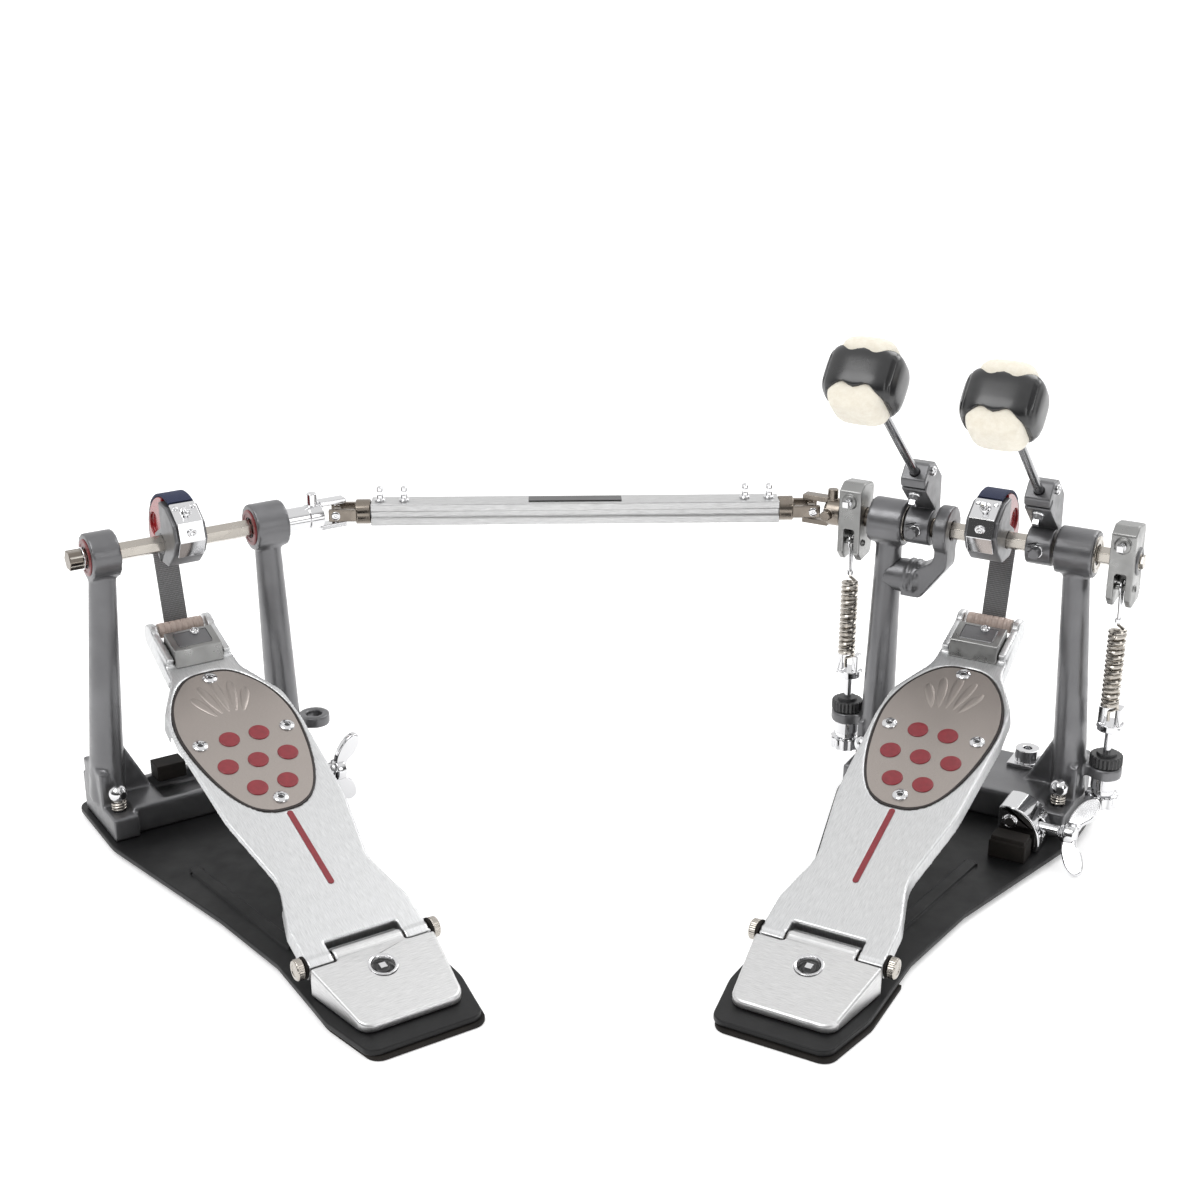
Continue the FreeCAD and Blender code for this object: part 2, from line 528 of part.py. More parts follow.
def footboard(prefix, place):
    """Cast board: a flat top with a skirt under its edge, ears for the hinge and cheeks at the toe."""
    right = [("board_heel_half", "-board_ear"), ("flare_half", "flare_s"), ("waist_half", "waist_s"),
             ("mid_half", "mid_s"), ("bulge_half", "bulge_s"), ("shoulder_half", "shoulder_s"),
             ("neck_half", "neck_s"), ("toe_half", "toe_s")]
    outline = [("-notch_half", "notch_s"), ("notch_half", "notch_s"), ("notch_half", "-board_ear")] + right
    outline += [("-" + a, b) for a, b in reversed(right)] + [("-notch_half", "-board_ear")]
    count = len(outline)
    rounds = []
    for index, radius in ((4, "20"), (5, "40"), (6, "110"), (7, "110"), (8, "20"), (9, "20")):
        rounds += [(index, radius), (count - index + 1, radius)]
    body = plate_body(prefix + "_board_body", "XY_Plane", outline, "board_skirt", rounds,
                      offset="-board_skirt")
    hollow = [("waist_half - board_wall", "24"), ("waist_half - board_wall", "waist_s"),
              ("bulge_half - board_wall - 2", "bulge_s - 6"),
              ("neck_half - board_wall", "neck_s - 8"), ("toe_half - board_wall", "toe_s - 40")]
    sketch = sketch_outline(body, prefix + "_board_hollow", "XY_Plane", mirrored(hollow), "-board_skirt")
    pocket(body, sketch, "board_skirt - board_thick", True)
    ears = []
    for i, at in enumerate(("notch_half", "-board_heel_half")):
        ears.append(rod("%s_ear_%d" % (prefix, i), "ear_radius", "board_heel_half - notch_half",
                        (at, "0", "-board_top"), TO_X))
    cheeks = []
    for i, at in enumerate(("toe_half - cheek_thick", "-toe_half")):
        cheeks.append(rod("%s_cheek_%d" % (prefix, i), "cheek_radius", "cheek_thick",
                          (at, "lug_s", "cheek_n"), TO_X))
        cheeks.append(block("%s_cheek_arm_%d" % (prefix, i), ("cheek_thick", "34", "15"),
                            (at, "lug_s - 34", "-10")))
    solid = join(prefix + "_board_solid", [body] + ears + cheeks)
    tools = [oval_body(prefix + "_recess", sheet.gasket_wide, "inset_deep + 1", "-inset_deep"),
             rod(prefix + "_board_bore", "pin_radius + 0.08", "100", ("-50", "0", "-board_top"), TO_X),
             block(prefix + "_belt_gap", ("2 * (toe_half - cheek_thick)", "30", "30"),
                   ("cheek_thick - toe_half", "clamp_end_s + 3", "-15")),
             block(prefix + "_stripe_groove", ("stripe_wide + 0.1", "stripe_long + 0.1", "2"),
                   ("-stripe_wide / 2 - 0.05", "stripe_s - 0.05", "-0.3")),
             block(prefix + "_ear_gap", ("2 * notch_half", "notch_s + 12", "30"),
                   ("-notch_half", "-12", "-15"))]
    made(cut(prefix + "_footboard", solid, tools), prefix + "_footboard", place)


def inset(prefix, place):
    made(group(prefix + "_inset", [oval_body(prefix + "_inset_body", 0, "inset_thick", "-inset_deep")]),
         prefix + "_inset", place)


def grip_marks(prefix, place):
    """Seven round grip dots on the inset and the stripe down the middle of the board."""
    top = "inset_thick - inset_deep"
    spots = [("-0.5", 1), ("0.5", 1), ("-1", 0), ("0", 0), ("1", 0), ("-0.5", -1), ("0.5", -1)]
    marks = [rod("%s_dot_%d" % (prefix, i), "dot_radius", "dot_high",
                 ("%s * dot_gap_x" % a, "dot_mid_s + %d * dot_gap_s" % b, top)) for i,
                 (a, b) in enumerate(spots)]
    marks.append(block(prefix + "_stripe", ("stripe_wide", "stripe_long", "stripe_high + 0.3"),
                       ("-stripe_wide / 2", "stripe_s", "-0.3")))
    made(group(prefix + "_grip_marks", marks), prefix + "_grip_marks", place)


def inset_screws(prefix, place):
    spots = [("0", "screw_top_s"), ("screw_side_x", "screw_side_s"), ("-screw_side_x", "screw_side_s"),
             ("0", "screw_low_s")]
    screws = []
    for i, (x, s) in enumerate(spots):
        head = rod("%s_screw_%d_head" % (prefix, i), "screw_radius", "screw_high",
                   (x, s, "inset_thick - inset_deep"))
        socket = prism("%s_screw_%d_socket" % (prefix, i), "4", "2",
                       (x, s, "inset_thick - inset_deep + 0.8"))
        screws.append(cut("%s_screw_%d" % (prefix, i), head, [socket]))
    made(group(prefix + "_inset_screws", screws), prefix + "_inset_screws", place)


def belt_clamp(prefix, place):
    """Wedge block on the board's toe, the roller that the belt passes behind, and its screw."""
    points = [("clamp_s", "0.3"), ("clamp_end_s", "0.3"), ("clamp_end_s", "clamp_high"),
              ("clamp_top_s", "clamp_high")]
    wedge = plate_body(prefix + "_wedge_body", "YZ_Plane", points, "2 * clamp_half", both=True)
    roller = rod(prefix + "_roller", "roller_radius", "2 * roller_half",
                 ("-roller_half", "roller_s", "roller_n"), TO_X)
    screw = rod(prefix + "_clamp_screw", "3.2", "3", ("3", "clamp_end_s - 5", "clamp_high + 0.05"))
    made(group(prefix + "_belt_clamp", [wedge, roller, screw]), prefix + "_belt_clamp", place)


def belt_run(prefix, place):
    """The straight run of belt from the cam down to the toe, drawn on its centre line."""
    points = [("belt_low_y - 1", "belt_low_z"), ("belt_low_y + 1", "belt_low_z"),
              ("belt_top_y + 1", "axle_z - belt_top_drop"), ("belt_top_y - 1", "axle_z - belt_top_drop")]
    body = plate_body(prefix + "_belt_body", "YZ_Plane", points, "2 * belt_half", both=True)
    made(group(prefix + "_belt", [body]), prefix + "_belt", place)


# ---------------------------------------------------------------- axles and cams


def hex_hole(name, start, length):
    return prism(name, "hex_across + 2 * hex_slack", length, (start, "0", "0"), TO_X)


def cam_body(prefix, place):
    """Cast clamp body round the axle; its front is faceted for the belt plate."""
    points = [("1", "28.8"), ("-12", "27.3"), ("-24.4", "18.4"), ("-27.4", "8"), ("-21.8", "-2.4"),
              ("-9", "-13.6"),
              ("8", "-13.6"), ("13", "-6"), ("13", "4"), ("1", "11")]
    body = plate_body(prefix + "_cam_core", "YZ_Plane", points, "2 * cam_half",
                      [(5, "6"), (6, "6"), (7, "4")],
                      both=True)
    tools = [hex_hole(prefix + "_cam_hole", "-30", "60")]
    made(cut(prefix + "_cam", body, tools), prefix + "_cam", place)


def cam_insert(prefix, place):
    """Half-round insert that the belt lies on, with a crescent recess in each side."""
    disc = primitive("Cylinder", prefix + "_insert_disc",
                     {"Radius": "wheel_radius", "Height": "2 * plate_half"},
                     ("-plate_half", "0", "0"), TO_X)
    keep = block(prefix + "_insert_keep", ("40", "40", "60"), ("-20", "1.4", "-12"))
    half = doc.addObject("Part::Common", prefix + "_insert_half")
    half.Base = disc
    half.Tool = keep
    tools = [block(prefix + "_insert_gap", ("40", "14.4", "30"), ("-20", "-1", "-18.8")),
             rod(prefix + "_insert_recess_a", "8", "3", ("plate_half - 2.4", "19", "8"), TO_X),
             rod(prefix + "_insert_recess_b", "8", "3", ("-plate_half - 0.6", "19", "8"), TO_X)]
    made(cut(prefix + "_cam_insert", half, tools), prefix + "_cam_insert", place)


def belt_wrap(prefix, place):
    """The belt where it lies round the cam, from the tangent point over the top to the belt plate."""
    outer = rod(prefix + "_wrap_outer", "wheel_radius + belt_thick", "2 * belt_half",
                ("-belt_half", "0", "0"), TO_X)
    inner = rod(prefix + "_wrap_inner", "wheel_radius + 0.05", "60", ("-30", "0", "0"), TO_X)
    ring = cut(prefix + "_wrap_ring", outer, [inner])
    keep = plate_body(prefix + "_wrap_keep", "YZ_Plane",
                      [("0", "0"), ("60", "-5"), ("60", "60"), ("-24", "60")], "60",
                      both=True)
    wrap = doc.addObject("Part::Common", prefix + "_belt_wrap")
    wrap.Base = ring
    wrap.Tool = keep
    made(wrap, prefix + "_belt_wrap", place)


def belt_plate(prefix, place):
    """Bent plate that clamps the belt to the front of the cam, with its key screw and two rivets."""
    points = [("-12.4", "27.7"), ("-13.6", "29.9"), ("-26.6", "20.2"), ("-29.8", "8"), ("-23.6", "-3.6"),
              ("-22.4", "-2.2"), ("-27.9", "8.1"), ("-24.9", "18.8")]
    bent = plate_body(prefix + "_bent_body", "YZ_Plane", points, "2 * plate_half", both=True)
    tilt = Rotation(Vector(1, 0, 0), 53)
    screw = prism(prefix + "_belt_screw", "6.2", "6", ("0", "-19.9", "25"), tilt)
    flange = rod(prefix + "_belt_flange", "4.6", "2", ("0", "-19.8", "24.9"), tilt)
    rivets = [rod("%s_rivet_%d" % (prefix, i), "1.8", "1.6", (x, "-16.4", "27.6"), tilt)
              for i, x in enumerate(("-5.6", "5.6"))]
    made(join(prefix + "_belt_plate", [bent, screw, flange] + rivets), prefix + "_belt_plate", place)


def yoke_solids(name, centre, direction, upright_arms):
    """Hub and two fork arms that hold one pair of a universal joint's trunnions; direction points to the hub."""
    hub_start = "%s + yoke_hub_start" % centre if direction > 0 else "%s - yoke_hub_end" % centre
    hub = rod(name + "_hub", "yoke_radius", "yoke_hub_end - yoke_hub_start", (hub_start, "0", "0"), TO_X)
    arm_start = "%s - yoke_arm_tip" % centre if direction > 0 else "%s - yoke_hub_start - 1" % centre
    long = "yoke_hub_start + yoke_arm_tip + 1"
    solids = [hub]
    for i, start in enumerate(("yoke_arm_in", "-yoke_arm_out")):
        thick = "yoke_arm_out - yoke_arm_in"
        if upright_arms:
            solids.append(block("%s_arm_%d" % (name, i), (long, "2 * yoke_arm_half", thick),
                                (arm_start, "-yoke_arm_half", start)))
        else:
            solids.append(block("%s_arm_%d" % (name, i), (long, thick, "2 * yoke_arm_half"),
                                (arm_start, start, "-yoke_arm_half")))
    return solids


def slave_axle(place):
    bar = prism("slave_bar", "hex_across", "slave_hex_end - slave_hex_start", ("slave_hex_start", "0", "0"),
                TO_X)
    head = prism("slave_bolt_head", "bolt_head", "9", ("slave_hex_start - 9", "0", "0"), TO_X)
    made(join("slave_hex_axle", [bar, head]), "slave_hex_axle", place)


def slave_collar(place):
    """Chrome collar on the axle's end with its key screw and the outer yoke."""
    collar = rod("slave_collar_tube", "collar_radius", "collar_end - collar_start",
                 ("collar_start", "0", "0"), TO_X)
    yoke = yoke_solids("slave_outer_yoke", "slave_reach", -1, True)
    stubs = [rod("slave_yoke_stub_%d" % i, "cross_pin_radius", "2.2", ("slave_reach", "0", z))
             for i, z in enumerate(("yoke_arm_in - 2.1", "-yoke_arm_in - 0.1"))]
    key = rod("slave_collar_key", "key_radius", "9", ("collar_end - 5", "0", "collar_radius - 0.5"))
    solid = join("slave_collar_solid", [collar, key] + yoke + stubs)
    made(cut("slave_collar", solid, [hex_hole("slave_collar_hole", "collar_start - 1", "6")]),
         "slave_collar", place)


def primary_axle(place):
    bar = prism("primary_bar", "hex_across", "primary_hex_end - primary_hex_start",
                ("primary_hex_start", "0", "0"), TO_X)
    made(group("primary_hex_axle", [bar]), "primary_hex_axle", place)


def stub_axle(place):
    """Round axle of the left beater with its outer yoke and two key screws."""
    bar = rod("stub_bar", "stub_radius", "stub_end - stub_start", ("stub_start", "0", "0"), TO_X)
    yoke = yoke_solids("primary_outer_yoke", "-primary_reach", 1, True)
    stubs = [rod("primary_yoke_stub_%d" % i, "cross_pin_radius", "2.2", ("-primary_reach", "0", z))
             for i, z in enumerate(("yoke_arm_in - 2.1", "-yoke_arm_in - 0.1"))]
    sleeve = rod("stub_sleeve", "9.5", "10", ("-primary_reach + yoke_hub_start + 1", "0", "0"), TO_X)
    top_key = rod("stub_key_top", "key_radius", "16", ("stub_start + 4.5", "0", "0"))
    front_key = rod("stub_key_front", "key_radius", "14", ("stub_start + 4.5", "0", "0"),
                    Rotation(Vector(1, 0, 0), 90))
    made(join("stub_axle", [bar, sleeve, top_key, front_key] + yoke + stubs), "stub_axle", place)


def spring_cam(prefix, place, centre, round_shaft):
    """Lever block that pulls the spring: clamped on the axle, slotted below for the link."""
    points = [("-spring_cam_front", "-spring_cam_low + 4"), ("-spring_cam_front", "spring_cam_top - 5"),
              ("-spring_cam_front + 7", "spring_cam_top"), ("spring_cam_back", "spring_cam_top - 2"),
              ("spring_cam_back", "-spring_cam_low"), ("-spring_cam_front + 6", "-spring_cam_low - 2")]
    offset = "%s - spring_cam_half" % centre
    body = plate_body(prefix + "_lever", "YZ_Plane", points, "2 * spring_cam_half",
                      [(2, "4"), (3, "5"), (4, "5")],
                      offset=offset)
    hole = (rod(prefix + "_lever_hole", "stub_radius + 0.05", "40", (centre + " - 20", "0", "0"),
                TO_X) if round_shaft
            else prism(prefix + "_lever_hole", "hex_across + 2 * hex_slack", "40",
                       (centre + " - 20", "0", "0"), TO_X))
    slots = [block(prefix + "_slot", ("2 * slot_half", "16", "24"),
                   (centre + " - slot_half", "-spring_cam_front - 1", "-spring_cam_low - 3")),
             block(prefix + "_slot_rear", ("2 * slot_half", "30", "14"),
                   (centre + " - slot_half", "-spring_cam_front - 1", "-spring_cam_low - 3"))]
    pin_z = "-pin_z"
    lever = cut(prefix + "_lever_cut", body, [hole] + slots)
    pin = rod(prefix + "_lever_pin", "2", "2 * spring_cam_half + 1",
              (centre + " - spring_cam_half - 0.5", "-pin_y", pin_z),
              TO_X)
    key = rod(prefix + "_lever_key", "5", "3", (centre, "-spring_cam_front + 0.5", "13"),
              Rotation(Vector(1, 0, 0), 90))
    made(join(prefix + "_spring_cam", [lever, pin, key]), prefix + "_spring_cam", place)


def beater_holder(prefix, place, round_shaft):
    """Hub clamped on the axle with the arm that grips the beater rod; built along the rod."""
    hub = rod(prefix + "_hub", "holder_radius", "2 * holder_half", ("-holder_half", "0", "0"), TO_X)
    points = [("holder_front", "holder_low - 6"), ("holder_front", "holder_top - 6"),
              ("holder_front + 4", "holder_top"),
              ("holder_back - 6", "holder_top"), ("holder_back", "holder_top - 8"), ("holder_back", "14"),
              ("11", "-6"), ("2", "0")]
    arm = plate_body(prefix + "_arm", "YZ_Plane", points, "2 * holder_half", [(2, "3"), (3, "4"), (4, "6")],
                     both=True)
    key = rod(prefix + "_hub_key", "key_radius", "11", ("0", "-6.8", "8.1"), Rotation(Vector(1, 0, 0), 40))
    clamp_key = rod(prefix + "_rod_key", "key_radius", "6", ("0", "holder_front + 1", "30"),
                    Rotation(Vector(1, 0, 0), 90))
    solid = join(prefix + "_holder_solid", [hub, arm, key, clamp_key])
    hole = (rod(prefix + "_hub_hole", "stub_radius + 0.05", "60", ("-30", "0", "0"), TO_X) if round_shaft
            else prism(prefix + "_hub_hole", "hex_across + 2 * hex_slack", "60", ("-30", "0", "0"),
                       Rotation(Vector(1, 0, 0), -sheet.beater_tilt).multiply(TO_X)))
    tools = [hole, rod(prefix + "_rod_hole", "rod_radius + 0.05", "70", ("0", "rod_offset", "-10")),
             block(prefix + "_slit", ("40", "8", "2"), ("-20", "holder_front - 1", "36"))]
    made(cut(prefix + "_holder", solid, tools), prefix + "_holder", place)


def beater(prefix, place):
    shank = rod(prefix + "_shank", "rod_radius", "rod_top - rod_low", ("0", "rod_offset", "rod_low"))
    made(group(prefix + "_beater_rod", [shank]), prefix + "_beater_rod", place)
    sizes = {"x": "shell_half_x", "y": "shell_half_y", "z": "shell_half_z"}
    shell_block = block(prefix + "_shell_block", tuple("2 * " + sizes[k] for k in "xyz"),
                        ("-shell_half_x", "rod_offset - shell_half_y", "head_at - shell_half_z"))
    barrel = rod(prefix + "_shell_barrel", "barrel_radius", "80", ("0", "rod_offset", "head_at - 40"))
    shell = doc.addObject("Part::Common", prefix + "_shell_solid")
    shell.Base = shell_block
    shell.Tool = barrel
    window = block(prefix + "_window", ("2 * felt_half_x", "2 * felt_half_y", "2 * felt_half_z"),
                   ("-felt_half_x", "rod_offset - felt_half_y", "head_at - felt_half_z"))
    rod_hole = rod(prefix + "_shell_hole", "rod_radius + 0.05", "40", ("0", "rod_offset", "head_at - 40"))
    shell_cut = cut(prefix + "_shell", shell, [window, rod_hole])
    felt_block = block(prefix + "_felt_block",
                       ("2 * felt_half_x - 0.1", "2 * felt_half_y - 0.1", "2 * felt_half_z - 0.1"),
                       ("-felt_half_x + 0.05", "rod_offset - felt_half_y + 0.05",
                        "head_at - felt_half_z + 0.05"))
    felt_hole = rod(prefix + "_felt_hole", "rod_radius + 0.05", "40", ("0", "rod_offset", "head_at - 40"))
    felt = cut(prefix + "_felt", felt_block, [felt_hole])
    made(group(prefix + "_beater_head", [shell_cut, felt]), prefix + "_beater_head", place)


# ---------------------------------------------------------------- drive shaft


def drive_yoke(name, place, direction, extra):
    """Inner yoke with its cross; direction points from the joint's centre to the hub."""
    centre = "-joint_half" if direction > 0 else "joint_half"
    solids = yoke_solids(name + "_fork", centre, direction, False)
    trunnion = rod(name + "_trunnion", "cross_pin_radius", "2 * yoke_arm_in + 2",
                   (centre, "-yoke_arm_in - 1", "0"), TO_Y)
    block_at = (centre + " - cross_half", "-cross_half", "-cross_half")
    heart = block(name + "_heart", ("2 * cross_half", "2 * cross_half", "2 * cross_half"), block_at)
    made(join(name, solids + [trunnion, heart] + extra), name, place)


def drive_shaft(place):
    long = "sleeve_end - sleeve_start"
    bar = block("sleeve_bar", (long, "sleeve_wide", "sleeve_high"),
                ("sleeve_start", "-sleeve_wide / 2", "-sleeve_high / 2"))
    tools = [rod("sleeve_bore_cut", "sleeve_bore", long + " + 2", ("sleeve_start - 1", "0", "0"), TO_X)]
    for i, y in enumerate(("-sleeve_wide / 2 - 1", "sleeve_wide / 2 - groove_deep")):
        tools.append(block("sleeve_groove_%d" % i, (long + " + 2", "groove_deep + 1", "groove_wide"),
                           ("sleeve_start - 1", y, "-groove_wide / 2")))
    made(cut("drive_sleeve", bar, tools), "drive_sleeve", place)
    screws = []
    for i, x in enumerate(("-sleeve_screw_out", "-sleeve_screw_in", "sleeve_screw_in", "sleeve_screw_out")):
        base = rod("sleeve_screw_%d_base" % i, "3.8", "2", (x, "0", "sleeve_high / 2 + 0.05"))
        stem = rod("sleeve_screw_%d_stem" % i, "3", "10.5", (x, "0", "sleeve_high / 2 + 0.05"))
        screws.append(join("sleeve_screw_%d" % i, [base, stem]))
    screws.append(block("name_plate", ("64", "10", "0.8"), ("-32", "-5", "sleeve_high / 2")))
    made(group("sleeve_fittings", screws), "sleeve_fittings", place)
    slide = rod("slide_rod", "slide_rod_radius", "slide_rod_long",
                ("-joint_half + yoke_hub_start + 1", "0", "0"), TO_X)
    drive_yoke("slide_yoke", place, 1, [slide])
    tail = rod("fixed_tail", "slide_rod_radius", "40", ("joint_half - yoke_hub_start - 41", "0", "0"), TO_X)
    drive_yoke("fixed_yoke", place, -1, [tail])


# ---------------------------------------------------------------- primary stand's extras


def loop_arm(place):
    """Arm from the left upright that goes under the left holder and up to the eye round the axle."""
    tube = rod("arm_tube", "arm_radius", "arm_end - (primary_left)", ("primary_left", "0", "arm_z"), TO_X)
    rings = [rod("arm_ring_%d" % i, "arm_radius + 1.4", "2.6", (x, "0", "arm_z"), TO_X)
             for i, x in enumerate(("primary_left + 16", "primary_left + 20.5"))]
    points = [("arm_end - 12", "arm_z - 11.5"), ("arm_end + 2", "arm_z - 11.5"),
              ("eye_x + eye_half", "arm_z + 12"),
              ("eye_x + eye_half", "axle_z - 12"), ("eye_x - eye_half", "axle_z - 12"),
              ("eye_x - eye_half", "arm_z + 16"),
              ("arm_end - 10", "arm_z + 4")]
    web = plate_body("arm_web", "XZ_Plane", points, "20", [(1, "6"), (2, "8"), (5, "8")], both=True)
    eye = rod("arm_eye", "eye_radius", "2 * eye_half", ("eye_x - eye_half", "0", "axle_z"), TO_X)
    solid = join("arm_solid", [tube, web, eye] + rings)
    hole = rod("arm_hole", "bearing_bore", "40", ("eye_x - 20", "0", "axle_z"), TO_X)
    frame = [o for o in NODES if o.Label == "primary_frame"][0]
    keep_out = doc.addObject("Part::Feature", "arm_keep_out")
    column = frame.Shape.copy()
    column.Placement = Placement()
    keep_out.Shape = column
    made(cut("loop_arm", solid, [hole, keep_out]), "loop_arm", place)


def hoop_clamp(place):
    seat = "plate_z + plate_thick + hoop_high - 7"
    square = block("collar_square", ("2 * clamp_square", "2 * clamp_square", "3"),
                   ("collar_x - clamp_square", "collar_y - clamp_square", seat))
    ring = rod("collar_ring", "clamp_collar_radius", "clamp_collar_high + 3", ("collar_x", "collar_y", seat))
    hole = rod("collar_hole", "3", "20", ("collar_x", "collar_y", seat + " + 6"))
    made(cut("hoop_collar", join("collar_solid", [square, ring]), [hole]), "hoop_collar", place)
    floor = "plate_z + plate_thick"
    outer = rod("jaw_outer", "jaw_radius", "jaw_long", ("jaw_x", "-jaw_back - jaw_long", "jaw_z"), TO_Y)
    inner = rod("jaw_inner", "jaw_radius - jaw_thick", "jaw_long - 8",
                ("jaw_x", "-jaw_back - jaw_long + 4", "jaw_z"), TO_Y)
    keep = block("jaw_keep", ("40", "60", "40"), ("jaw_x - 6", "-jaw_back - 50", floor + " + 0.3"))
    arch = doc.addObject("Part::Common", "jaw_arch")
    arch.Base = cut("jaw_shell", outer, [inner])
    arch.Tool = keep
    bore = rod("jaw_bore", "wing_screw_radius + 1.4", "40", ("jaw_x + 5", "-wing_y", "wing_z"), TO_X)
    disc = rod("jaw_disc", "4", "1.5", ("jaw_x + 2", "-jaw_back - jaw_long - 1.4", "jaw_z + 12"), TO_Y)
    made(cut("hoop_jaw", join("jaw_solid", [arch, disc]), [bore]), "hoop_jaw", place)


def spring_link(prefix, place, x):
    """Flat strap with an eye round the lever's pin; the spring's top hook holds its lower end."""
    pin_height = "axle_z - pin_z"
    strap = block(prefix + "_strap", ("4", "3", "axle_z - pin_z - spring_high - 8"),
                  (x + " - 2", "-pin_y - 1.5", "spring_high + 4.4"))
    eye = rod(prefix + "_eye", "link_eye", "4", (x + " - 2", "-pin_y", pin_height), TO_X)
    hole = rod(prefix + "_eye_hole", "link_hole", "8", (x + " - 4", "-pin_y", pin_height), TO_X)
    link = cut(prefix + "_spring_link", join(prefix + "_link_solid", [strap, eye]), [hole])
    made(link, prefix + "_spring_link", place)


def springs(place):
    """Each spring stands as a turned stack of rounded coils under its link; the clevis below holds its hook."""
    for prefix, x in (("right", "right_spring_x"), ("left", "left_spring_x")):
        coils = 17
        pitch = (sheet.spring_high - sheet.spring_low) / coils
        rings = []
        for i in range(coils):
            share = 0.62 if i in (0, coils - 1) else (0.82 if i in (1, coils - 2) else 1.0)
            level = "spring_low + %.3f" % (pitch * (i + 0.5))
            ring = primitive("Torus", "%s_coil_%d" % (prefix, i),
                             {"Radius1": "(spring_radius - 1.2) * %s" % share, "Radius2": "1.78"},
                             (x, "spring_y", level))
            rings.append(ring)
        top_hook = rod(prefix + "_top_hook", "1.4", "7", (x, "spring_y", "spring_high - 3"))
        low_hook = rod(prefix + "_low_hook", "1.4", "12", (x, "spring_y", "spring_low - 9"))
        made(join(prefix + "_spring", rings + [top_hook, low_hook]), prefix + "_spring", place)
        spring_link(prefix, place, x)
        nuts = [cut(prefix + "_black_nut",
                    rod(prefix + "_black_nut_solid", "black_nut_radius", "black_nut_high",
                        (x, "lug_y", "lug_z + lug_thick + 0.3")),
                    [rod(prefix + "_black_nut_bore", "tension_rod_radius + 0.05", "30",
                         (x, "lug_y", "lug_z"))]),
                cut(prefix + "_chrome_nut",
                    rod(prefix + "_chrome_nut_solid", "chrome_nut_radius", "chrome_nut_high",
                        (x, "lug_y", "chrome_nut_z")),
                    [rod(prefix + "_chrome_nut_bore", "tension_rod_radius + 0.05", "30",
                         (x, "lug_y", "0"))])]
        made(group(prefix + "_spring_nuts", nuts), prefix + "_spring_nuts", place)
    rods = []
    for prefix, x in (("right", "right_spring_x"), ("left", "left_spring_x")):
        stem = rod(prefix + "_tension_rod", "tension_rod_radius", "62", (x, "lug_y", "13"))
        low = rod(prefix + "_clevis_low", "clevis_radius + 1", "5", (x, "lug_y", "72"))
        ears = [block("%s_clevis_ear_%d" % (prefix, i), ("4", "9", "14"), (x + side, "lug_y - 4.5", "75"))
                for i, side in enumerate((" + 3.4", " - 7.4"))]
        bush = cut(prefix + "_bush",
                   rod(prefix + "_bush_solid", "bush_radius", "bush_high - 0.6",
                       (x, "lug_y", "lug_z - bush_high + 0.3")),
                   [rod(prefix + "_bush_bore", "tension_rod_radius + 0.05", "30", (x, "lug_y", "20"))])
        rods += [join(prefix + "_tension", [stem, low] + ears), bush]
    made(group("tension_rods", rods), "tension_rods", place)


def build():
    slave, primary, drive = slave_frame(), primary_frame(), drive_frame()
    slave_left = ("slave_left", "slave_left_wide", "slave_left_foot")
    slave_right = ("slave_right", "slave_right_wide", "slave_right_foot")
    primary_left = ("primary_left", "primary_left_wide", "primary_left_foot")
    primary_right = ("primary_right", "primary_right_wide", "primary_right_foot")
    base_plate("slave", slave)
    base_plate("primary", primary)
    rubber_sole("slave", slave, True)
    rubber_sole("primary", primary, False)
    frame_casting("slave", slave, slave_left, slave_right, [("_lug_r", "right_spring_x", "24")])
    frame_casting("primary", primary, primary_left, primary_right,
                  [("_lug_r", "right_spring_x", "23"), ("_lug_l", "left_spring_x", "22")])
    spur_screws("slave", slave, ("slave_left_foot", "slave_right_foot"))
    spur_screws("primary", primary, ("primary_left_foot", "primary_right_foot"))
    wing_screw("slave", slave, ("slave_wing_x", "-slave_wing_y", "slave_wing_z"))
    wing_screw("primary", primary, ("wing_x", "-wing_y", "wing_z"))
    for prefix, pedal in (("slave", slave), ("primary", primary)):
        heel_plate(prefix, pedal)
        heel_pin(prefix, pedal)
        board = board_frame(pedal)
        footboard(prefix, board)
        inset(prefix, board)
        grip_marks(prefix, board)
        inset_screws(prefix, board)
        belt_clamp(prefix, board)
        belt_run(prefix, pedal)
        axle = axle_frame(pedal)
        cam_body(prefix, axle)
        cam_insert(prefix, axle)
        belt_wrap(prefix, axle)
        belt_plate(prefix, axle)
    slave_axle(axle_frame(slave))
    slave_collar(axle_frame(slave))
    primary_axle(axle_frame(primary))
    stub_axle(axle_frame(primary))
    spring_cam("right", axle_frame(primary), "right_spring_x - 0.5", False)
    spring_cam("left", axle_frame(primary), "left_spring_x", True)
    beater_holder("right", beater_frame(primary, "right_holder_x"), False)
    beater_holder("left", beater_frame(primary, "left_holder_x"), True)
    beater("right", beater_frame(primary, "right_holder_x").multiply(raised("-right_drop")))
    beater("left", beater_frame(primary, "left_holder_x").multiply(raised("left_rise")))
    drive_shaft(drive)
    doc.recompute()
    loop_arm(primary)
    hoop_clamp(primary)
    springs(primary)


def check_and_write():
    doc.recompute()
    for obj in doc.Objects:
        if "Invalid" in obj.State or "Error" in obj.State:
            raise RuntimeError("%s is in state %s" % (obj.Name, obj.State))
    for obj in NODES:
        if obj.Shape.isNull() or not obj.Shape.isValid():
            raise RuntimeError("%s has no valid shape" % obj.Label)
    os.makedirs("parts", exist_ok=True)
    for obj in NODES:
        obj.Shape.exportStep(os.path.join("parts", obj.Label + ".step"))
    box = FreeCAD.BoundBox()
    for obj in NODES:
        box.add(obj.Shape.BoundBox)
    print("%d nodes, box %s" % (len(NODES), box))


build()
check_and_write()
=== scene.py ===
import json
import math

import bmesh
import bpy
from mathutils import Matrix, Vector


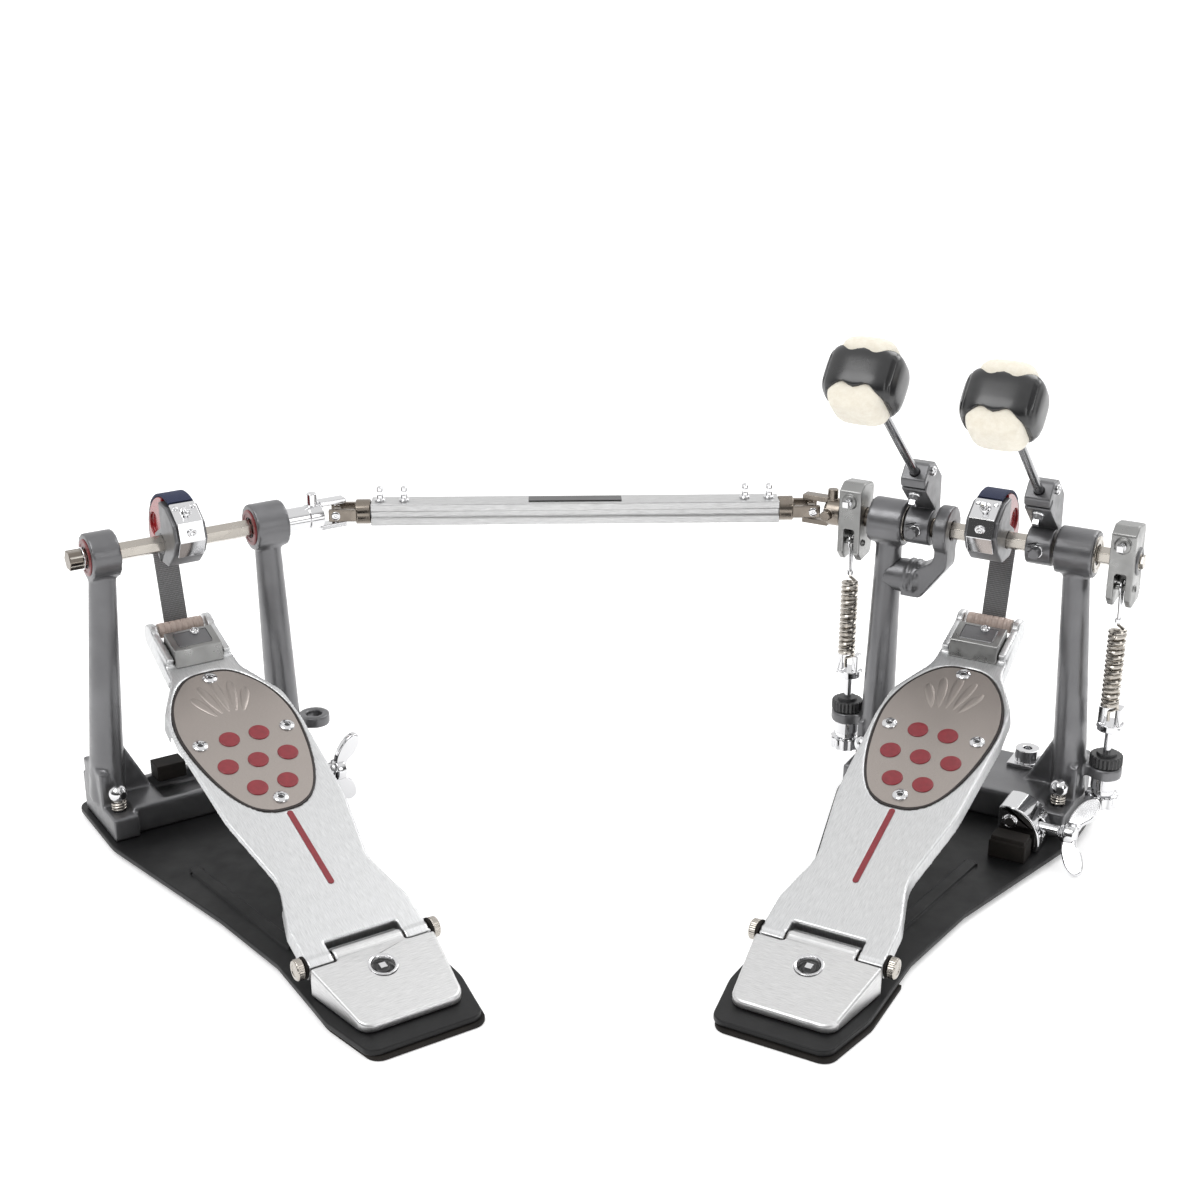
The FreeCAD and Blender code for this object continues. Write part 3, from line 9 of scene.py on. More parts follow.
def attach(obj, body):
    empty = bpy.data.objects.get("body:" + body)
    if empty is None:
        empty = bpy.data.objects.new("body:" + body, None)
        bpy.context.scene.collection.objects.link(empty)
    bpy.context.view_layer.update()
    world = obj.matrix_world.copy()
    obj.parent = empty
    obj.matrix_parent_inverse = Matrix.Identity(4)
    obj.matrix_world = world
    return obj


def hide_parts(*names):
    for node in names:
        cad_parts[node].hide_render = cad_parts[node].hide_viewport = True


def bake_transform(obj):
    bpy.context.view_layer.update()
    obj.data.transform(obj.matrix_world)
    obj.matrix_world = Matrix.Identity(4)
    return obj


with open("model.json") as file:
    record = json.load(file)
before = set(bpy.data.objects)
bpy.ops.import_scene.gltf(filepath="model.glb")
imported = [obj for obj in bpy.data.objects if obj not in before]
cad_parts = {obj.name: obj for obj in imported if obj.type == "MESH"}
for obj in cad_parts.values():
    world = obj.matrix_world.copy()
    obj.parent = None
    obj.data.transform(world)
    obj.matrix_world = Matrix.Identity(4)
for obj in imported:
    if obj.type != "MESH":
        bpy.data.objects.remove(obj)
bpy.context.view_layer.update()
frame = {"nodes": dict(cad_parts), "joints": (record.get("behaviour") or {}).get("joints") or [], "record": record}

MM = 0.001
NODES = frame["nodes"]
JOINTS = {j["name"]: j for j in frame["joints"]}
BODY_OF = {n: b for b, names in frame["record"]["behaviour"]["bodies"].items() for n in names}
PEDALS = ("slave", "primary")
SAME_SPOT = 2e-6     # metres; CAD points closer than this are one
FLAT_ANGLE = 0.4     # degrees; CAD faces that meet at less than this are one


# ---------------------------------------------------------------- frames


def at(x, y, z):
    """A move, as a matrix."""
    return Matrix.Translation((x, y, z))


def turn(degrees, axis):
    """A turn about one axis, as a matrix."""
    return Matrix.Rotation(math.radians(degrees), 4, axis)


def pedal_frame(side):
    """From a pedal's own millimetres to the row frame: X on its axle, Y to the toe, origin on the floor."""
    joint = JOINTS[side + "_axle_turn"]
    yaw = math.atan2(joint["axis"][1], joint["axis"][0])
    return at(joint["pos_m"][0], joint["pos_m"][1], 0) @ Matrix.Rotation(yaw, 4, "Z") @ Matrix.Scale(MM, 4)


FRAMES = {side: pedal_frame(side) for side in PEDALS}
AXLE_Z = JOINTS["primary_axle_turn"]["pos_m"][2] / MM
HINGE_Z = JOINTS["primary_treadle_press"]["pos_m"][2] / MM
HINGE_BACK = (Vector(JOINTS["primary_treadle_press"]["pos_m"][:2])
              - Vector(JOINTS["primary_axle_turn"]["pos_m"][:2])).length / MM
BOARD_TILT = 19.7       # degrees, of the board above the floor
BOARD_TOP = 4.7         # from the hinge's axis up to the tread
BEATER_TILT = 50        # degrees, of the beaters back from upright
ROD_OFFSET = 20         # between the axle's line and the beater rod's
TO_X = turn(90, "Y")
TO_Y = turn(-90, "X")
DRAWN_YZ = Matrix(((0, 0, 1, 0), (1, 0, 0, 0), (0, 1, 0, 0), (0, 0, 0, 1)))   # outlines in YZ, padded along X
DRAWN_XZ = Matrix(((1, 0, 0, 0), (0, 0, 1, 0), (0, 1, 0, 0), (0, 0, 0, 1)))   # outlines in XZ, padded along Y

# places on the pedals, in millimetres, in the frames that follow
HEEL_FRONT_Z, HEEL_BACK_Z, HEEL_EDGE, HEEL_END, HEEL_HOLE = 25, 12.5, 273.6, 326, 287
KNOB_LONG = 5.3
SPUR_BALL = 6
WING_THICK, WING_LEAN = 4, {"primary": -46, "slave": 12}
OVAL_HALF, OVAL_TOP, OVAL_LOW = 37.5, 248, 116
GROOVES_FROM, GROOVE_FAN, GROOVE_LENGTHS = 186, 12, (24, 30, 34, 30, 24)
DOT_GAP_X, DOT_GAP_S, DOT_MID = 20, 23, 160.8
STRIPE_HALF, STRIPE_LONG = 1.9, 62
SCREW_TOP, SCREW_SIDE, SCREW_SIDE_X, SCREW_LOW = 242.4, 183.9, 29.3, 125.1
CLAMP_HALF, CLAMP_SCREW = 16.5, (3, 279, 9.9)
WHEEL, BELT_HALF = 30.5, 8.2
BELT_THICK, WRAP_THICK = 1.8, 2.1
BELT_OUT, WRAP_OUT = 1.05, 0.12    # the belt's middle beyond the wheel, and the wrapped strip's beyond that
BELT_LEAVES, HANGING_END = -5, 62  # degrees round the axle
WRAP_START, WRAP_END = 41, 111     # 46 degrees of pressing bring the start back to where the belt leaves
ROLLER_S, ROLLER_N, ROLLER_RADIUS = 297, 1.3, 5.2
PLATE_LEAN = 53
HOLDER_X = {"right": 34, "left": -49}     # the two beaters, along the axle
ROD_RADIUS, ROD_MARK = 2.95, 62
SHELL_DEEP, FELT_WIDE, FELT_HIGH = 0.78, 0.74, 0.86     # shares of the beater head's box
SHELL_GROOVES = ((0.80, 0.86), (0.91, 0.95))            # shares of the head's half width
COIL_TURNS, COIL_RADIUS, COIL_WIRE = 16, 4.75, 1.42
JOINT_HALF = 163.7
HOUSINGS = {"slave": ((-52, 9.5, "ring_red"), (62, 11.5, "ring_red")),
            "primary": ((-71, 12, "nickel"), (57.5, 12.5, "nickel"))}

# the camera, in metres and degrees
CAMERA_FROM_SHAFT = Vector((-0.0160, -1.1983, 0.3895))
CAMERA_DOWN, CAMERA_YAW, CAMERA_LENS = 20.85, -1.588, 54.62

# profiles of turned parts, as (radius, height) in millimetres
BEARING_RING = [(7.1, -1.2), (11.6, -1.2), (12.2, -0.4), (12.2, 0.5), (11.2, 1.0), (9.6, 0.9), (9.4, 0.5),
                (7.1, 0.5)]
HEEL_RING = [(8.7, -0.1), (8.7, 0.35), (8.2, 0.5), (7.1, 0.2), (6.5, -1.2), (6.9, -1.6), (7.6, -0.6)]
HEEL_RECESS = [(7.0, -4.2), (7.0, -3.4), (6.0, -3.1)]
HEEL_STUD = [(4.4, -3.6), (4.4, -2.6), (3.6, -2.1), (2.6, -2.1)]
KNOB_WASHER = [(6.6, -1.3), (6.6, -0.1), (5.0, 0.0)]
KNOB = [(5.4, 0.0), (6.1, 0.5), (6.4, 0.9), (6.4, KNOB_LONG - 1.1), (5.6, KNOB_LONG - 0.3), (3.6, KNOB_LONG),
        (3.2, KNOB_LONG - 0.5), (1.0, KNOB_LONG - 0.5)]
SPUR_HOLE = [(2.3, -6.05), (2.6, -5.6), (2.6, 5.6), (2.3, 6.05)]
WING_HUB = [(3.9, -7), (5.6, -6.5), (5.9, -4), (7.3, -3.6), (7.5, 0), (7.2, 2.6), (5.5, 3.8), (3.0, 4.2)]
GRIP_DOT = [(6.6, 0.05), (6.65, 0.55), (6.3, 0.85), (5.2, 1.0), (2.6, 1.05)]
TREAD_SCREW = [(4.9, 0.0), (5.0, 0.5), (4.6, 1.1), (3.5, 1.6), (2.3, 1.75), (2.2, 0.6)]
CLAMP_SCREW_HEAD = [(3.2, 0), (3.2, 1.6), (2.6, 2.6), (1.6, 2.8), (1.5, 1.6)]
AXLE_WASHER = [(7.6, 8.4), (7.6, 9.2)]
KEY_FLANGE = [(4.4, 0), (4.5, 0.8), (4.0, 1.5), (3.2, 1.7), (2.9, 2.2), (2.9, 4.2)]
RIVET = [(1.9, 0), (1.8, 0.6), (1.2, 1.1)]
PLATE_SCREW = [(3.4, 0), (3.4, 0.9), (2.6, 1.3), (1.4, 1.3), (1.3, 0.6)]
LEVER_CAP = [(9.2, -0.6), (9.2, 0.5), (8.4, 1.1), (6.2, 1.1), (5.8, 0.4)]
HOLDER_SCREW = [(3.4, 0), (3.4, 1.4), (2.6, 2.2), (1.6, 2.2), (1.5, 1.2)]
FITTING_TIP = [(2.2, 6.6), (2.5, 7.4), (2.4, 9.4), (1.2, 10.2)]
CROSS_CAP = [(3.1, -0.6), (3.1, 0.3), (2.4, 0.7), (1.0, 0.7), (0.8, 0.2)]

# outlines of padded parts, in millimetres
WING_EAR = [(-2.5, 4), (-3.0, 11), (-0.5, 18), (3.5, 24), (9, 27.2), (13.2, 24.5), (13.4, 19), (10.5, 12),
            (6.0, 7.5), (4.0, 3)]
CLAMP_BLOCK = [(258, 0.2), (284, 0.2), (284, 9.8), (264.5, 9.8)]
CLAMP_PAD = [(267, 9.8), (281, 9.8), (281, 10.3), (268, 10.3)]
BELT_PLATE = [(-12.4, 28.3), (-13.6, 30.1), (-26.6, 20.4), (-29.9, 8), (-23.8, -3.7), (-22.4, -2.4),
              (-28.1, 8.1), (-25.2, 19.2)]


def board_frame(side):
    """X across the board, Y from the heel hinge to the toe, Z out of the tread; origin on the tread."""
    return FRAMES[side] @ at(0, -HINGE_BACK, HINGE_Z) @ turn(BOARD_TILT, "X") @ at(0, 0, BOARD_TOP)


def axle_frame(side):
    """The pedal's frame, with its origin on the axle."""
    return FRAMES[side] @ at(0, 0, AXLE_Z)


def beater_frame(x):
    """Z along the beater's rod, Y to the side the rod is offset to."""
    return axle_frame("primary") @ at(x, 0, 0) @ turn(BEATER_TILT, "X")


def drive_frame():
    """Millimetres along the drive shaft, with the origin at its middle."""
    return at(*JOINTS["drive_shaft_turn"]["pos_m"]) @ Matrix.Scale(MM, 4)


# ---------------------------------------------------------------- materials


def tree_of(mat):
    nodes, links = mat.node_tree.nodes, mat.node_tree.links
    return nodes, links, nodes["Principled BSDF"]


def basic(name, colour, rough, metal=0.0, coat=0.0, spec=0.5):
    mat = bpy.data.materials.new(name)
    mat.use_nodes = True
    shader = mat.node_tree.nodes["Principled BSDF"]
    shader.inputs["Base Color"].default_value = (*colour, 1)
    shader.inputs["Roughness"].default_value = rough
    shader.inputs["Metallic"].default_value = metal
    shader.inputs["Coat Weight"].default_value = coat
    shader.inputs["Coat Roughness"].default_value = 0.15
    shader.inputs["Specular IOR Level"].default_value = spec
    return mat


def coords(mat, kind="UV", scale=(1, 1, 1)):
    nodes, links, _ = tree_of(mat)
    source = nodes.new("ShaderNodeTexCoord")
    mapping = nodes.new("ShaderNodeMapping")
    mapping.inputs["Scale"].default_value = scale
    links.new(source.outputs[kind], mapping.inputs["Vector"])
    return mapping.outputs["Vector"]


def noise(mat, vector, scale, detail=4.0, rough=0.55):
    nodes, links, _ = tree_of(mat)
    tex = nodes.new("ShaderNodeTexNoise")
    tex.inputs["Scale"].default_value = scale
    tex.inputs["Detail"].default_value = detail
    tex.inputs["Roughness"].default_value = rough
    links.new(vector, tex.inputs["Vector"])
    return tex.outputs["Fac"]


def ramp(owner, value, stops):
    """A colour ramp in a material or a world; stops is a list of (position, grey or colour)."""
    nodes, links = owner.node_tree.nodes, owner.node_tree.links
    node = nodes.new("ShaderNodeValToRGB")
    while len(node.color_ramp.elements) < len(stops):
        node.color_ramp.elements.new(0.5)
    for element, (position, colour) in zip(node.color_ramp.elements, stops):
        element.position = position
        element.color = (*colour, 1) if isinstance(colour, tuple) else (colour, colour, colour, 1)
    links.new(value, node.inputs["Fac"])
    return node.outputs["Color"]


def bump(mat, height, strength, distance):
    nodes, links, shader = tree_of(mat)
    node = nodes.new("ShaderNodeBump")
    node.inputs["Strength"].default_value = strength
    node.inputs["Distance"].default_value = distance
    links.new(height, node.inputs["Height"])
    links.new(node.outputs["Normal"], shader.inputs["Normal"])


def vary(mat, value, socket, stops):
    _, links, shader = tree_of(mat)
    links.new(ramp(mat, value, stops), shader.inputs[socket])


def cast_metal():
    """Satin dark grey powder coat over a casting: fine orange peel and faint cloudiness."""
    mat = basic("cast_dark_grey", (0.16, 0.16, 0.165), rough=0.36, metal=0.75, coat=0.15)
    where = coords(mat, "Object")
    vary(mat, noise(mat, where, 35, 3), "Base Color",
         [(0.3, (0.138, 0.138, 0.143)), (0.7, (0.182, 0.182, 0.188))])
    vary(mat, noise(mat, where, 140, 2), "Roughness", [(0.3, 0.30), (0.7, 0.44)])
    bump(mat, noise(mat, where, 900, 2), 0.12, 0.0004)
    return mat


def satin_black():
    mat = basic("satin_black", (0.006, 0.006, 0.0065), rough=0.42, spec=0.28)
    where = coords(mat, "Object")
    vary(mat, noise(mat, where, 60, 3), "Roughness", [(0.3, 0.38), (0.75, 0.54)])
    bump(mat, noise(mat, where, 1200, 2), 0.1, 0.0003)
    return mat


def rubber_black():
    mat = basic("black_rubber", (0.010, 0.008, 0.007), rough=0.75, spec=0.25)
    where = coords(mat, "Object")
    vary(mat, noise(mat, where, 90, 4), "Base Color",
         [(0.3, (0.007, 0.006, 0.005)), (0.7, (0.014, 0.011, 0.009))])
    bump(mat, noise(mat, where, 1500, 3), 0.25, 0.0004)
    return mat


def brushed(name, colour, low, high, along=(1, 40, 1), strength=0.06, grain=260):
    """Brushed metal: fine scratches across the piece, drawn in its own UV millimetres."""
    mat = basic(name, colour, (low + high) / 2, metal=1.0)
    where = coords(mat, "UV", along)
    fine = noise(mat, where, grain, 3, 0.7)
    dark = tuple(c * 0.78 for c in colour)
    light = tuple(min(1.0, c * 1.12) for c in colour)
    vary(mat, fine, "Base Color", [(0.30, dark), (0.70, light)])
    vary(mat, fine, "Roughness", [(0.2, high), (0.8, low)])
    bump(mat, fine, strength, 0.0002)
    return mat


def polished(name, colour, rough):
    mat = basic(name, colour, rough, metal=1.0)
    where = coords(mat, "Object")
    vary(mat, noise(mat, where, 80, 3), "Roughness", [(0.3, rough * 0.7), (0.8, rough * 1.9)])
    bump(mat, noise(mat, where, 30, 2), 0.04, 0.0006)
    return mat


def speckled(name, colour, rough, spread=0.25, scale=500, coat=0.0, strength=0.15):
    mat = basic(name, colour, rough, coat=coat)
    where = coords(mat, "Object")
    low = tuple(c * (1 - spread) for c in colour)
    high = tuple(c * (1 + spread) for c in colour)
    vary(mat, noise(mat, where, scale, 3), "Base Color", [(0.3, low), (0.7, high)])
    vary(mat, noise(mat, where, scale / 6, 2), "Roughness",
         [(0.3, rough * 0.85), (0.7, min(1, rough * 1.2))])
    bump(mat, noise(mat, where, scale * 2, 2), strength, 0.0003)
    return mat


def woven(name, colour):
    """Webbing: two crossed waves in UV make the ribs of the weave."""
    mat = basic(name, colour, rough=0.7, spec=0.35)
    nodes, links, _ = tree_of(mat)
    where = coords(mat, "UV")
    waves = []
    for direction, scale in (("X", 340), ("Y", 240)):
        wave = nodes.new("ShaderNodeTexWave")
        wave.bands_direction = direction
        wave.inputs["Scale"].default_value = scale
        wave.inputs["Distortion"].default_value = 0.6
        wave.inputs["Detail"].default_value = 1.5
        links.new(where, wave.inputs["Vector"])
        waves.append(wave.outputs["Fac"])
    mix = nodes.new("ShaderNodeMath")
    mix.operation = "MULTIPLY"
    links.new(waves[0], mix.inputs[0])
    links.new(waves[1], mix.inputs[1])
    low = tuple(c * 0.6 for c in colour)
    high = tuple(c * 1.4 for c in colour)
    vary(mat, mix.outputs[0], "Base Color", [(0.05, low), (0.8, high)])
    bump(mat, mix.outputs[0], 0.5, 0.0005)
    return mat


def felt_cream():
    mat = basic("cream_felt", (0.82, 0.77, 0.66), rough=0.95, spec=0.2)
    mat.node_tree.nodes["Principled BSDF"].inputs["Sheen Weight"].default_value = 0.5
    where = coords(mat, "Object")
    vary(mat, noise(mat, where, 260, 6, 0.7), "Base Color",
         [(0.25, (0.76, 0.70, 0.58)), (0.75, (0.88, 0.84, 0.74))])
    bump(mat, noise(mat, where, 900, 6, 0.75), 0.5, 0.0008)
    return mat


M = {
    "cast": cast_metal(),
    "black": satin_black(),
    "rubber": rubber_black(),
    "board": brushed("brushed_board", (0.66, 0.665, 0.67), 0.28, 0.50, along=(9, 0.5, 1), strength=0.25),
    "heel": brushed("brushed_heel", (0.68, 0.68, 0.68), 0.28, 0.48, along=(0.5, 9, 1), strength=0.22),
    "silver": brushed("brushed_silver", (0.60, 0.60, 0.60), 0.26, 0.44,
                      along=(0.4, 9, 1), strength=0.20),
    "chrome": polished("mirror_chrome", (0.68, 0.68, 0.69), 0.07),
    "nickel": polished("warm_nickel", (0.46, 0.43, 0.39), 0.20),
    "lever": polished("satin_nickel", (0.30, 0.30, 0.295), 0.30),
    "rod": polished("dark_chrome", (0.30, 0.30, 0.31), 0.14),
    "dark_nickel": polished("brown_nickel", (0.24, 0.21, 0.18), 0.24),
    "dark_steel": speckled("blackened_steel", (0.020, 0.020, 0.021), 0.40,
                           spread=0.2, scale=400, coat=0.1, strength=0.08),
    "inset": brushed("inset_warm_grey", (0.40, 0.36, 0.335), 0.34, 0.48,
                     along=(3, 50, 1), strength=0.05),
    "gasket": speckled("black_gasket", (0.016, 0.011, 0.010), 0.5, spread=0.2, scale=600),
    "red": speckled("deep_red", (0.200, 0.010, 0.018), 0.38,
                    spread=0.12, scale=300, coat=0.2, strength=0.05),
    "insert_red": speckled("cam_red", (0.270, 0.010, 0.014), 0.22,
                           spread=0.12, scale=300, coat=0.5, strength=0.03),
    "ring_red": speckled("ring_red", (0.150, 0.010, 0.012), 0.35,
                         spread=0.15, scale=300, coat=0.2, strength=0.03),
    "belt": woven("belt_weave", (0.22, 0.222, 0.225)),
    "belt_top": woven("belt_weave_navy", (0.022, 0.030, 0.075)),
    "felt": felt_cream(),
    "shell": speckled("gloss_black", (0.012, 0.012, 0.013), 0.30,
                      spread=0.15, scale=250, coat=0.3, strength=0.05),
    "roller": speckled("beige_roller", (0.52, 0.42, 0.37), 0.45,
                       spread=0.08, scale=300, coat=0.1, strength=0.05),
    # black of the name plate, also put in holes and sockets as painted shade
    "plate_and_hole_shade": speckled("black_plate_and_painted_hole_shade", (0.010, 0.010, 0.011), 0.3,
                      spread=0.2, scale=300, coat=0.3, strength=0.03),
}


# ---------------------------------------------------------------- mesh helpers


def home(node):
    """The frame of the pedal that a CAD node belongs to."""
    return FRAMES["slave" if node.startswith("slave") else "primary"]


def finished(obj, body, mat=None, slots=()):
    """Gives a new piece its material, if one is passed, and its body, and hides the CAD nodes it stands for."""
    if mat:
        obj.data.materials.append(mat)
    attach(obj, body)
    if slots:
        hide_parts(*slots)
    return obj


def to_object(name, bm):
    mesh = bpy.data.meshes.new(name)
    bm.normal_update()
    bm.to_mesh(mesh)
    bm.free()
    obj = bpy.data.objects.new(name, mesh)
    bpy.context.scene.collection.objects.link(obj)
    return obj


def apply_all(obj):
    """Applies the modifiers by taking the evaluated mesh."""
    deps = bpy.context.evaluated_depsgraph_get()
    deps.update()
    mesh = bpy.data.meshes.new_from_object(obj.evaluated_get(deps))
    old = obj.data
    obj.modifiers.clear()
    obj.data = mesh
    mesh.name = obj.name
    bpy.data.meshes.remove(old)


def smooth(obj, angle):
    obj.data.shade_smooth()
    obj.data.set_sharp_from_angle(angle=math.radians(angle))


def bevel(obj, width, segments, angle):
    """Rounds the sharp edges; width in metres."""
    mod = obj.modifiers.new("edges", "BEVEL")
    mod.width = width
    mod.segments = segments
    mod.limit_method = "ANGLE"
    mod.angle_limit = math.radians(angle)
    mod.use_clamp_overlap = False
    mod.miter_outer = "MITER_ARC"
    apply_all(obj)


def weighted(obj):
    """Lets the large flat faces set the shading, so that flats stay flat beside rounded edges."""
    mod = obj.modifiers.new("flats", "WEIGHTED_NORMAL")
    mod.keep_sharp = True
    apply_all(obj)


def box_uv(obj, matrix):
    """UVs in metres, boxed along the axes of a frame, so brushing and weave run with the piece."""
    inverse = matrix.inverted()
    upright = matrix.to_3x3().normalized().inverted()
    mesh = obj.data
    layer = mesh.uv_layers.get("UVMap") or mesh.uv_layers.new(name="UVMap")
    for face in mesh.polygons:
        normal = upright @ face.normal
        axis = max(range(3), key=lambda i: abs(normal[i]))
        for loop in face.loop_indices:
            p = (inverse @ mesh.vertices[mesh.loops[loop].vertex_index].co) * MM
            layer.data[loop].uv = ((p.y, p.z), (p.x, p.z), (p.x, p.y))[axis]


def softened(node, mat, width, segments=2, matrix=None):
    """The CAD node's own shape with its edges rounded, standing for the node; width in millimetres."""
    bm = bmesh.new()
    bm.from_mesh(NODES[node].data)
    bmesh.ops.remove_doubles(bm, verts=bm.verts, dist=SAME_SPOT)
    bmesh.ops.dissolve_limit(bm, angle_limit=math.radians(FLAT_ANGLE), verts=bm.verts, edges=bm.edges)
    obj = to_object(node + "_soft", bm)
    bevel(obj, width * MM, segments, 30)
    smooth(obj, 40)
    weighted(obj)
    box_uv(obj, matrix or home(node))
    return finished(obj, BODY_OF[node], mat, (node,))


def cast(node, mat, voxel=1.1, rounds=5, matrix=None):
    """A sand-cast look for a CAD node: its corners and joins melt into fillets."""
    bm = bmesh.new()
    bm.from_mesh(NODES[node].data)
    obj = to_object(node + "_cast", bm)
    voxels = obj.modifiers.new("voxels", "REMESH")
    voxels.mode = "VOXEL"
    voxels.voxel_size = voxel * MM
    relax = obj.modifiers.new("relax", "SMOOTH")
    relax.factor = 0.5
    relax.iterations = rounds
    apply_all(obj)
    obj.data.shade_smooth()
    weighted(obj)
    box_uv(obj, matrix or home(node))
    return finished(obj, BODY_OF[node], mat, (node,))


def local_box(node, matrix):
    """Lowest and highest corner of a CAD node in a frame, in that frame's millimetres."""
    inverse = matrix.inverted()
    spots = [inverse @ (NODES[node].matrix_world @ v.co) for v in NODES[node].data.vertices]
    low = Vector([min(p[i] for p in spots) for i in range(3)])
    high = Vector([max(p[i] for p in spots) for i in range(3)])
    return low, high


def spline(points, closed=False, steps=6):
    """A smooth curve through the points, as a finer list of points."""
    out = []
    count = len(points)
    for i in range(count if closed else count - 1):
        near = [(i + k) % count if closed else min(max(i + k, 0), count - 1) for k in (-1, 0, 1, 2)]
        a, b, c, d = (Vector(points[n]) for n in near)
        for k in range(steps):
            t = k / steps
            out.append(0.5 * (2 * b + (c - a) * t + (2 * a - 5 * b + 4 * c - d) * t * t
                              + (3 * b - a - 3 * c + d) * t ** 3))
    if not closed:
        out.append(Vector(points[-1]))
    return out


def tube_faces(rows, sides, closed=False):
    """Faces between rings of points, each joined to the next; an open tube is capped at both ends."""
    faces = []
    for i in range(rows if closed else rows - 1):
        near, far = i * sides, (i + 1) % rows * sides
        for k in range(sides):
            after = (k + 1) % sides
            faces.append((near + k, near + after, far + after, far + k))
    if not closed:
        faces.append(tuple(reversed(range(sides))))
        faces.append(tuple(range((rows - 1) * sides, rows * sides)))
    return faces


class Piece:
    """Gathers turned, padded and swept parts, drawn in one frame's millimetres, into one object."""

    def __init__(self, name, matrix):
        self.name = name
        self.matrix = matrix
        self.bm = bmesh.new()
        self.mats = []

    def index(self, key):
        if key not in self.mats:
            self.mats.append(key)
        return self.mats.index(key)

    def fill(self, spots, faces, mat, place):
        verts = [self.bm.verts.new(self.matrix @ (place @ Vector(p))) for p in spots]
        slot = self.index(mat)
        for face in faces:
            made = self.bm.faces.new([verts[i] for i in face])
            made.material_index = slot

    def turned(self, profile, mat, place=Matrix(), sides=36, flutes=0, depth=0.0, over=0.0, ring=False):
        """A profile of (radius, height) turned about Z; points beyond the radius `over` are fluted.
        A ring's profile closes on itself; any other is capped at both ends."""
        spots = []
        for radius, height in profile:
            for k in range(sides):
                a = 2 * math.pi * k / sides
                fluted = flutes and radius > over
                reach = radius - (depth * (0.5 + 0.5 * math.cos(flutes * a)) if fluted else 0.0)
                spots.append((reach * math.cos(a), reach * math.sin(a), height))
        self.fill(spots, tube_faces(len(profile), sides, ring), mat, place)

    def padded(self, outline, low, high, mat, place=Matrix()):
        """A closed outline of (x, y) padded from low to high along Z."""
        count = len(outline)
        spots = [(x, y, z) for z in (low, high) for x, y in outline]
        faces = [tuple(reversed(range(count))), tuple(range(count, 2 * count))]
        faces += [(k, (k + 1) % count, (k + 1) % count + count, k + count) for k in range(count)]
        self.fill(spots, faces, mat, place)

    def box(self, centre, size, mat, place=Matrix()):
        x, y, z = size[0] / 2, size[1] / 2, size[2] / 2
        self.padded([(-x, -y), (x, -y), (x, y), (-x, y)], -z, z, mat, place @ at(*centre))

    def prism(self, across, low, high, mat, place=Matrix(), sides=6):
        """A hexagon, or another even-sided bar, measured across its flats."""
        radius = across / 2 / math.cos(math.pi / sides)
        corners = [2 * math.pi * (k + 0.5) / sides for k in range(sides)]
        self.padded([(radius * math.cos(a), radius * math.sin(a)) for a in corners], low, high, mat, place)

    def swept(self, path, radius, mat, place=Matrix(), sides=10, closed=False, flat=1.0):
        """A round or flattened wire along a path."""
        path = [Vector(p) for p in path]
        count = len(path)
        spots = []
        side = None
        for i, spot in enumerate(path):
            ahead = path[(i + 1) % count] if closed or i < count - 1 else spot
            back = path[i - 1] if closed or i > 0 else spot
            along = (ahead - back).normalized()
            if side is None:
                side = along.orthogonal().normalized() if abs(along.z) > 0.9 else Vector((0, 0, 1))
            side = (side - along * side.dot(along)).normalized()
            other = along.cross(side)
            for k in range(sides):
                a = 2 * math.pi * k / sides
                spots.append(spot + side * (radius * flat * math.cos(a)) + other * (radius * math.sin(a)))
        self.fill(spots, tube_faces(count, sides, closed), mat, place)

    def grid(self, point, across, down, mat, place=Matrix()):
        """A closed skin from a function of two angles, as on a globe."""
        spots = [point(2 * math.pi * i / across, math.pi * (j / down - 0.5)) for j in range(1, down)
                 for i in range(across)]
        self.fill(spots, tube_faces(down - 1, across), mat, place)

    def made(self, body, slots, edge, segments=2, angle=32, blend=None):
        """Closes the piece: edges rounded by `edge` millimetres, riding on a body, or fixed in the world when
        blend is given.
        """
        bmesh.ops.recalc_face_normals(self.bm, faces=self.bm.faces)
        obj = to_object(self.name, self.bm)
        for key in self.mats:
            obj.data.materials.append(M[key])
        if edge:
            bevel(obj, edge * MM, segments, angle)
        smooth(obj, 42)
        weighted(obj)
        box_uv(obj, self.matrix)
        if blend:
            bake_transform(obj)
            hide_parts(*slots)
        else:
            finished(obj, body, None, slots)


# ---------------------------------------------------------------- stands


def plate_and_sole(side):
    softened(side + "_base_plate", M["black"], 0.8)
    softened(side + "_rubber", M["rubber"], 0.6)


def frame_casting(side):
    cast(side + "_frame", M["cast"])
    for x, half, colour in HOUSINGS[side]:
        ring = Piece("%s_bearing_%s" % (side, "left" if x < 0 else "right"), axle_frame(side))
        for way in (1, -1):
            ring.turned(BEARING_RING, colour, at(x + way * half, 0, 0) @ turn(90 * way, "Y"), 48, ring=True)
        ring.made(side + "_stand", (), 0.15)


def heel(side):
    """Brushed wedge with its countersunk ring, a black disc as painted shade in its recess, and square key head.
    """
    softened(side + "_heel_plate", M["heel"], 1.8, 3)
    fall, run = HEEL_FRONT_Z - HEEL_BACK_Z, HEEL_END - HEEL_EDGE
    lean = math.atan2(fall, run)
    level = HEEL_FRONT_Z - (HEEL_HOLE - HEEL_EDGE) * fall / run
    seat = at(0, -HEEL_HOLE, level) @ Matrix.Rotation(lean, 4, "X")
    screw = Piece(side + "_heel_screw", FRAMES[side])
    screw.turned(HEEL_RING, "chrome", seat, 48, ring=True)
    # the recess floor is a black disc: painted shade at the bottom of the hole
    screw.turned(HEEL_RECESS, "plate_and_hole_shade", seat, 36)
    screw.turned(HEEL_STUD, "dark_steel", seat, 24)
    screw.prism(4.0, -3.4, -0.4, "chrome", seat, 4)
    screw.made(side + "_stand", (), 0.15)


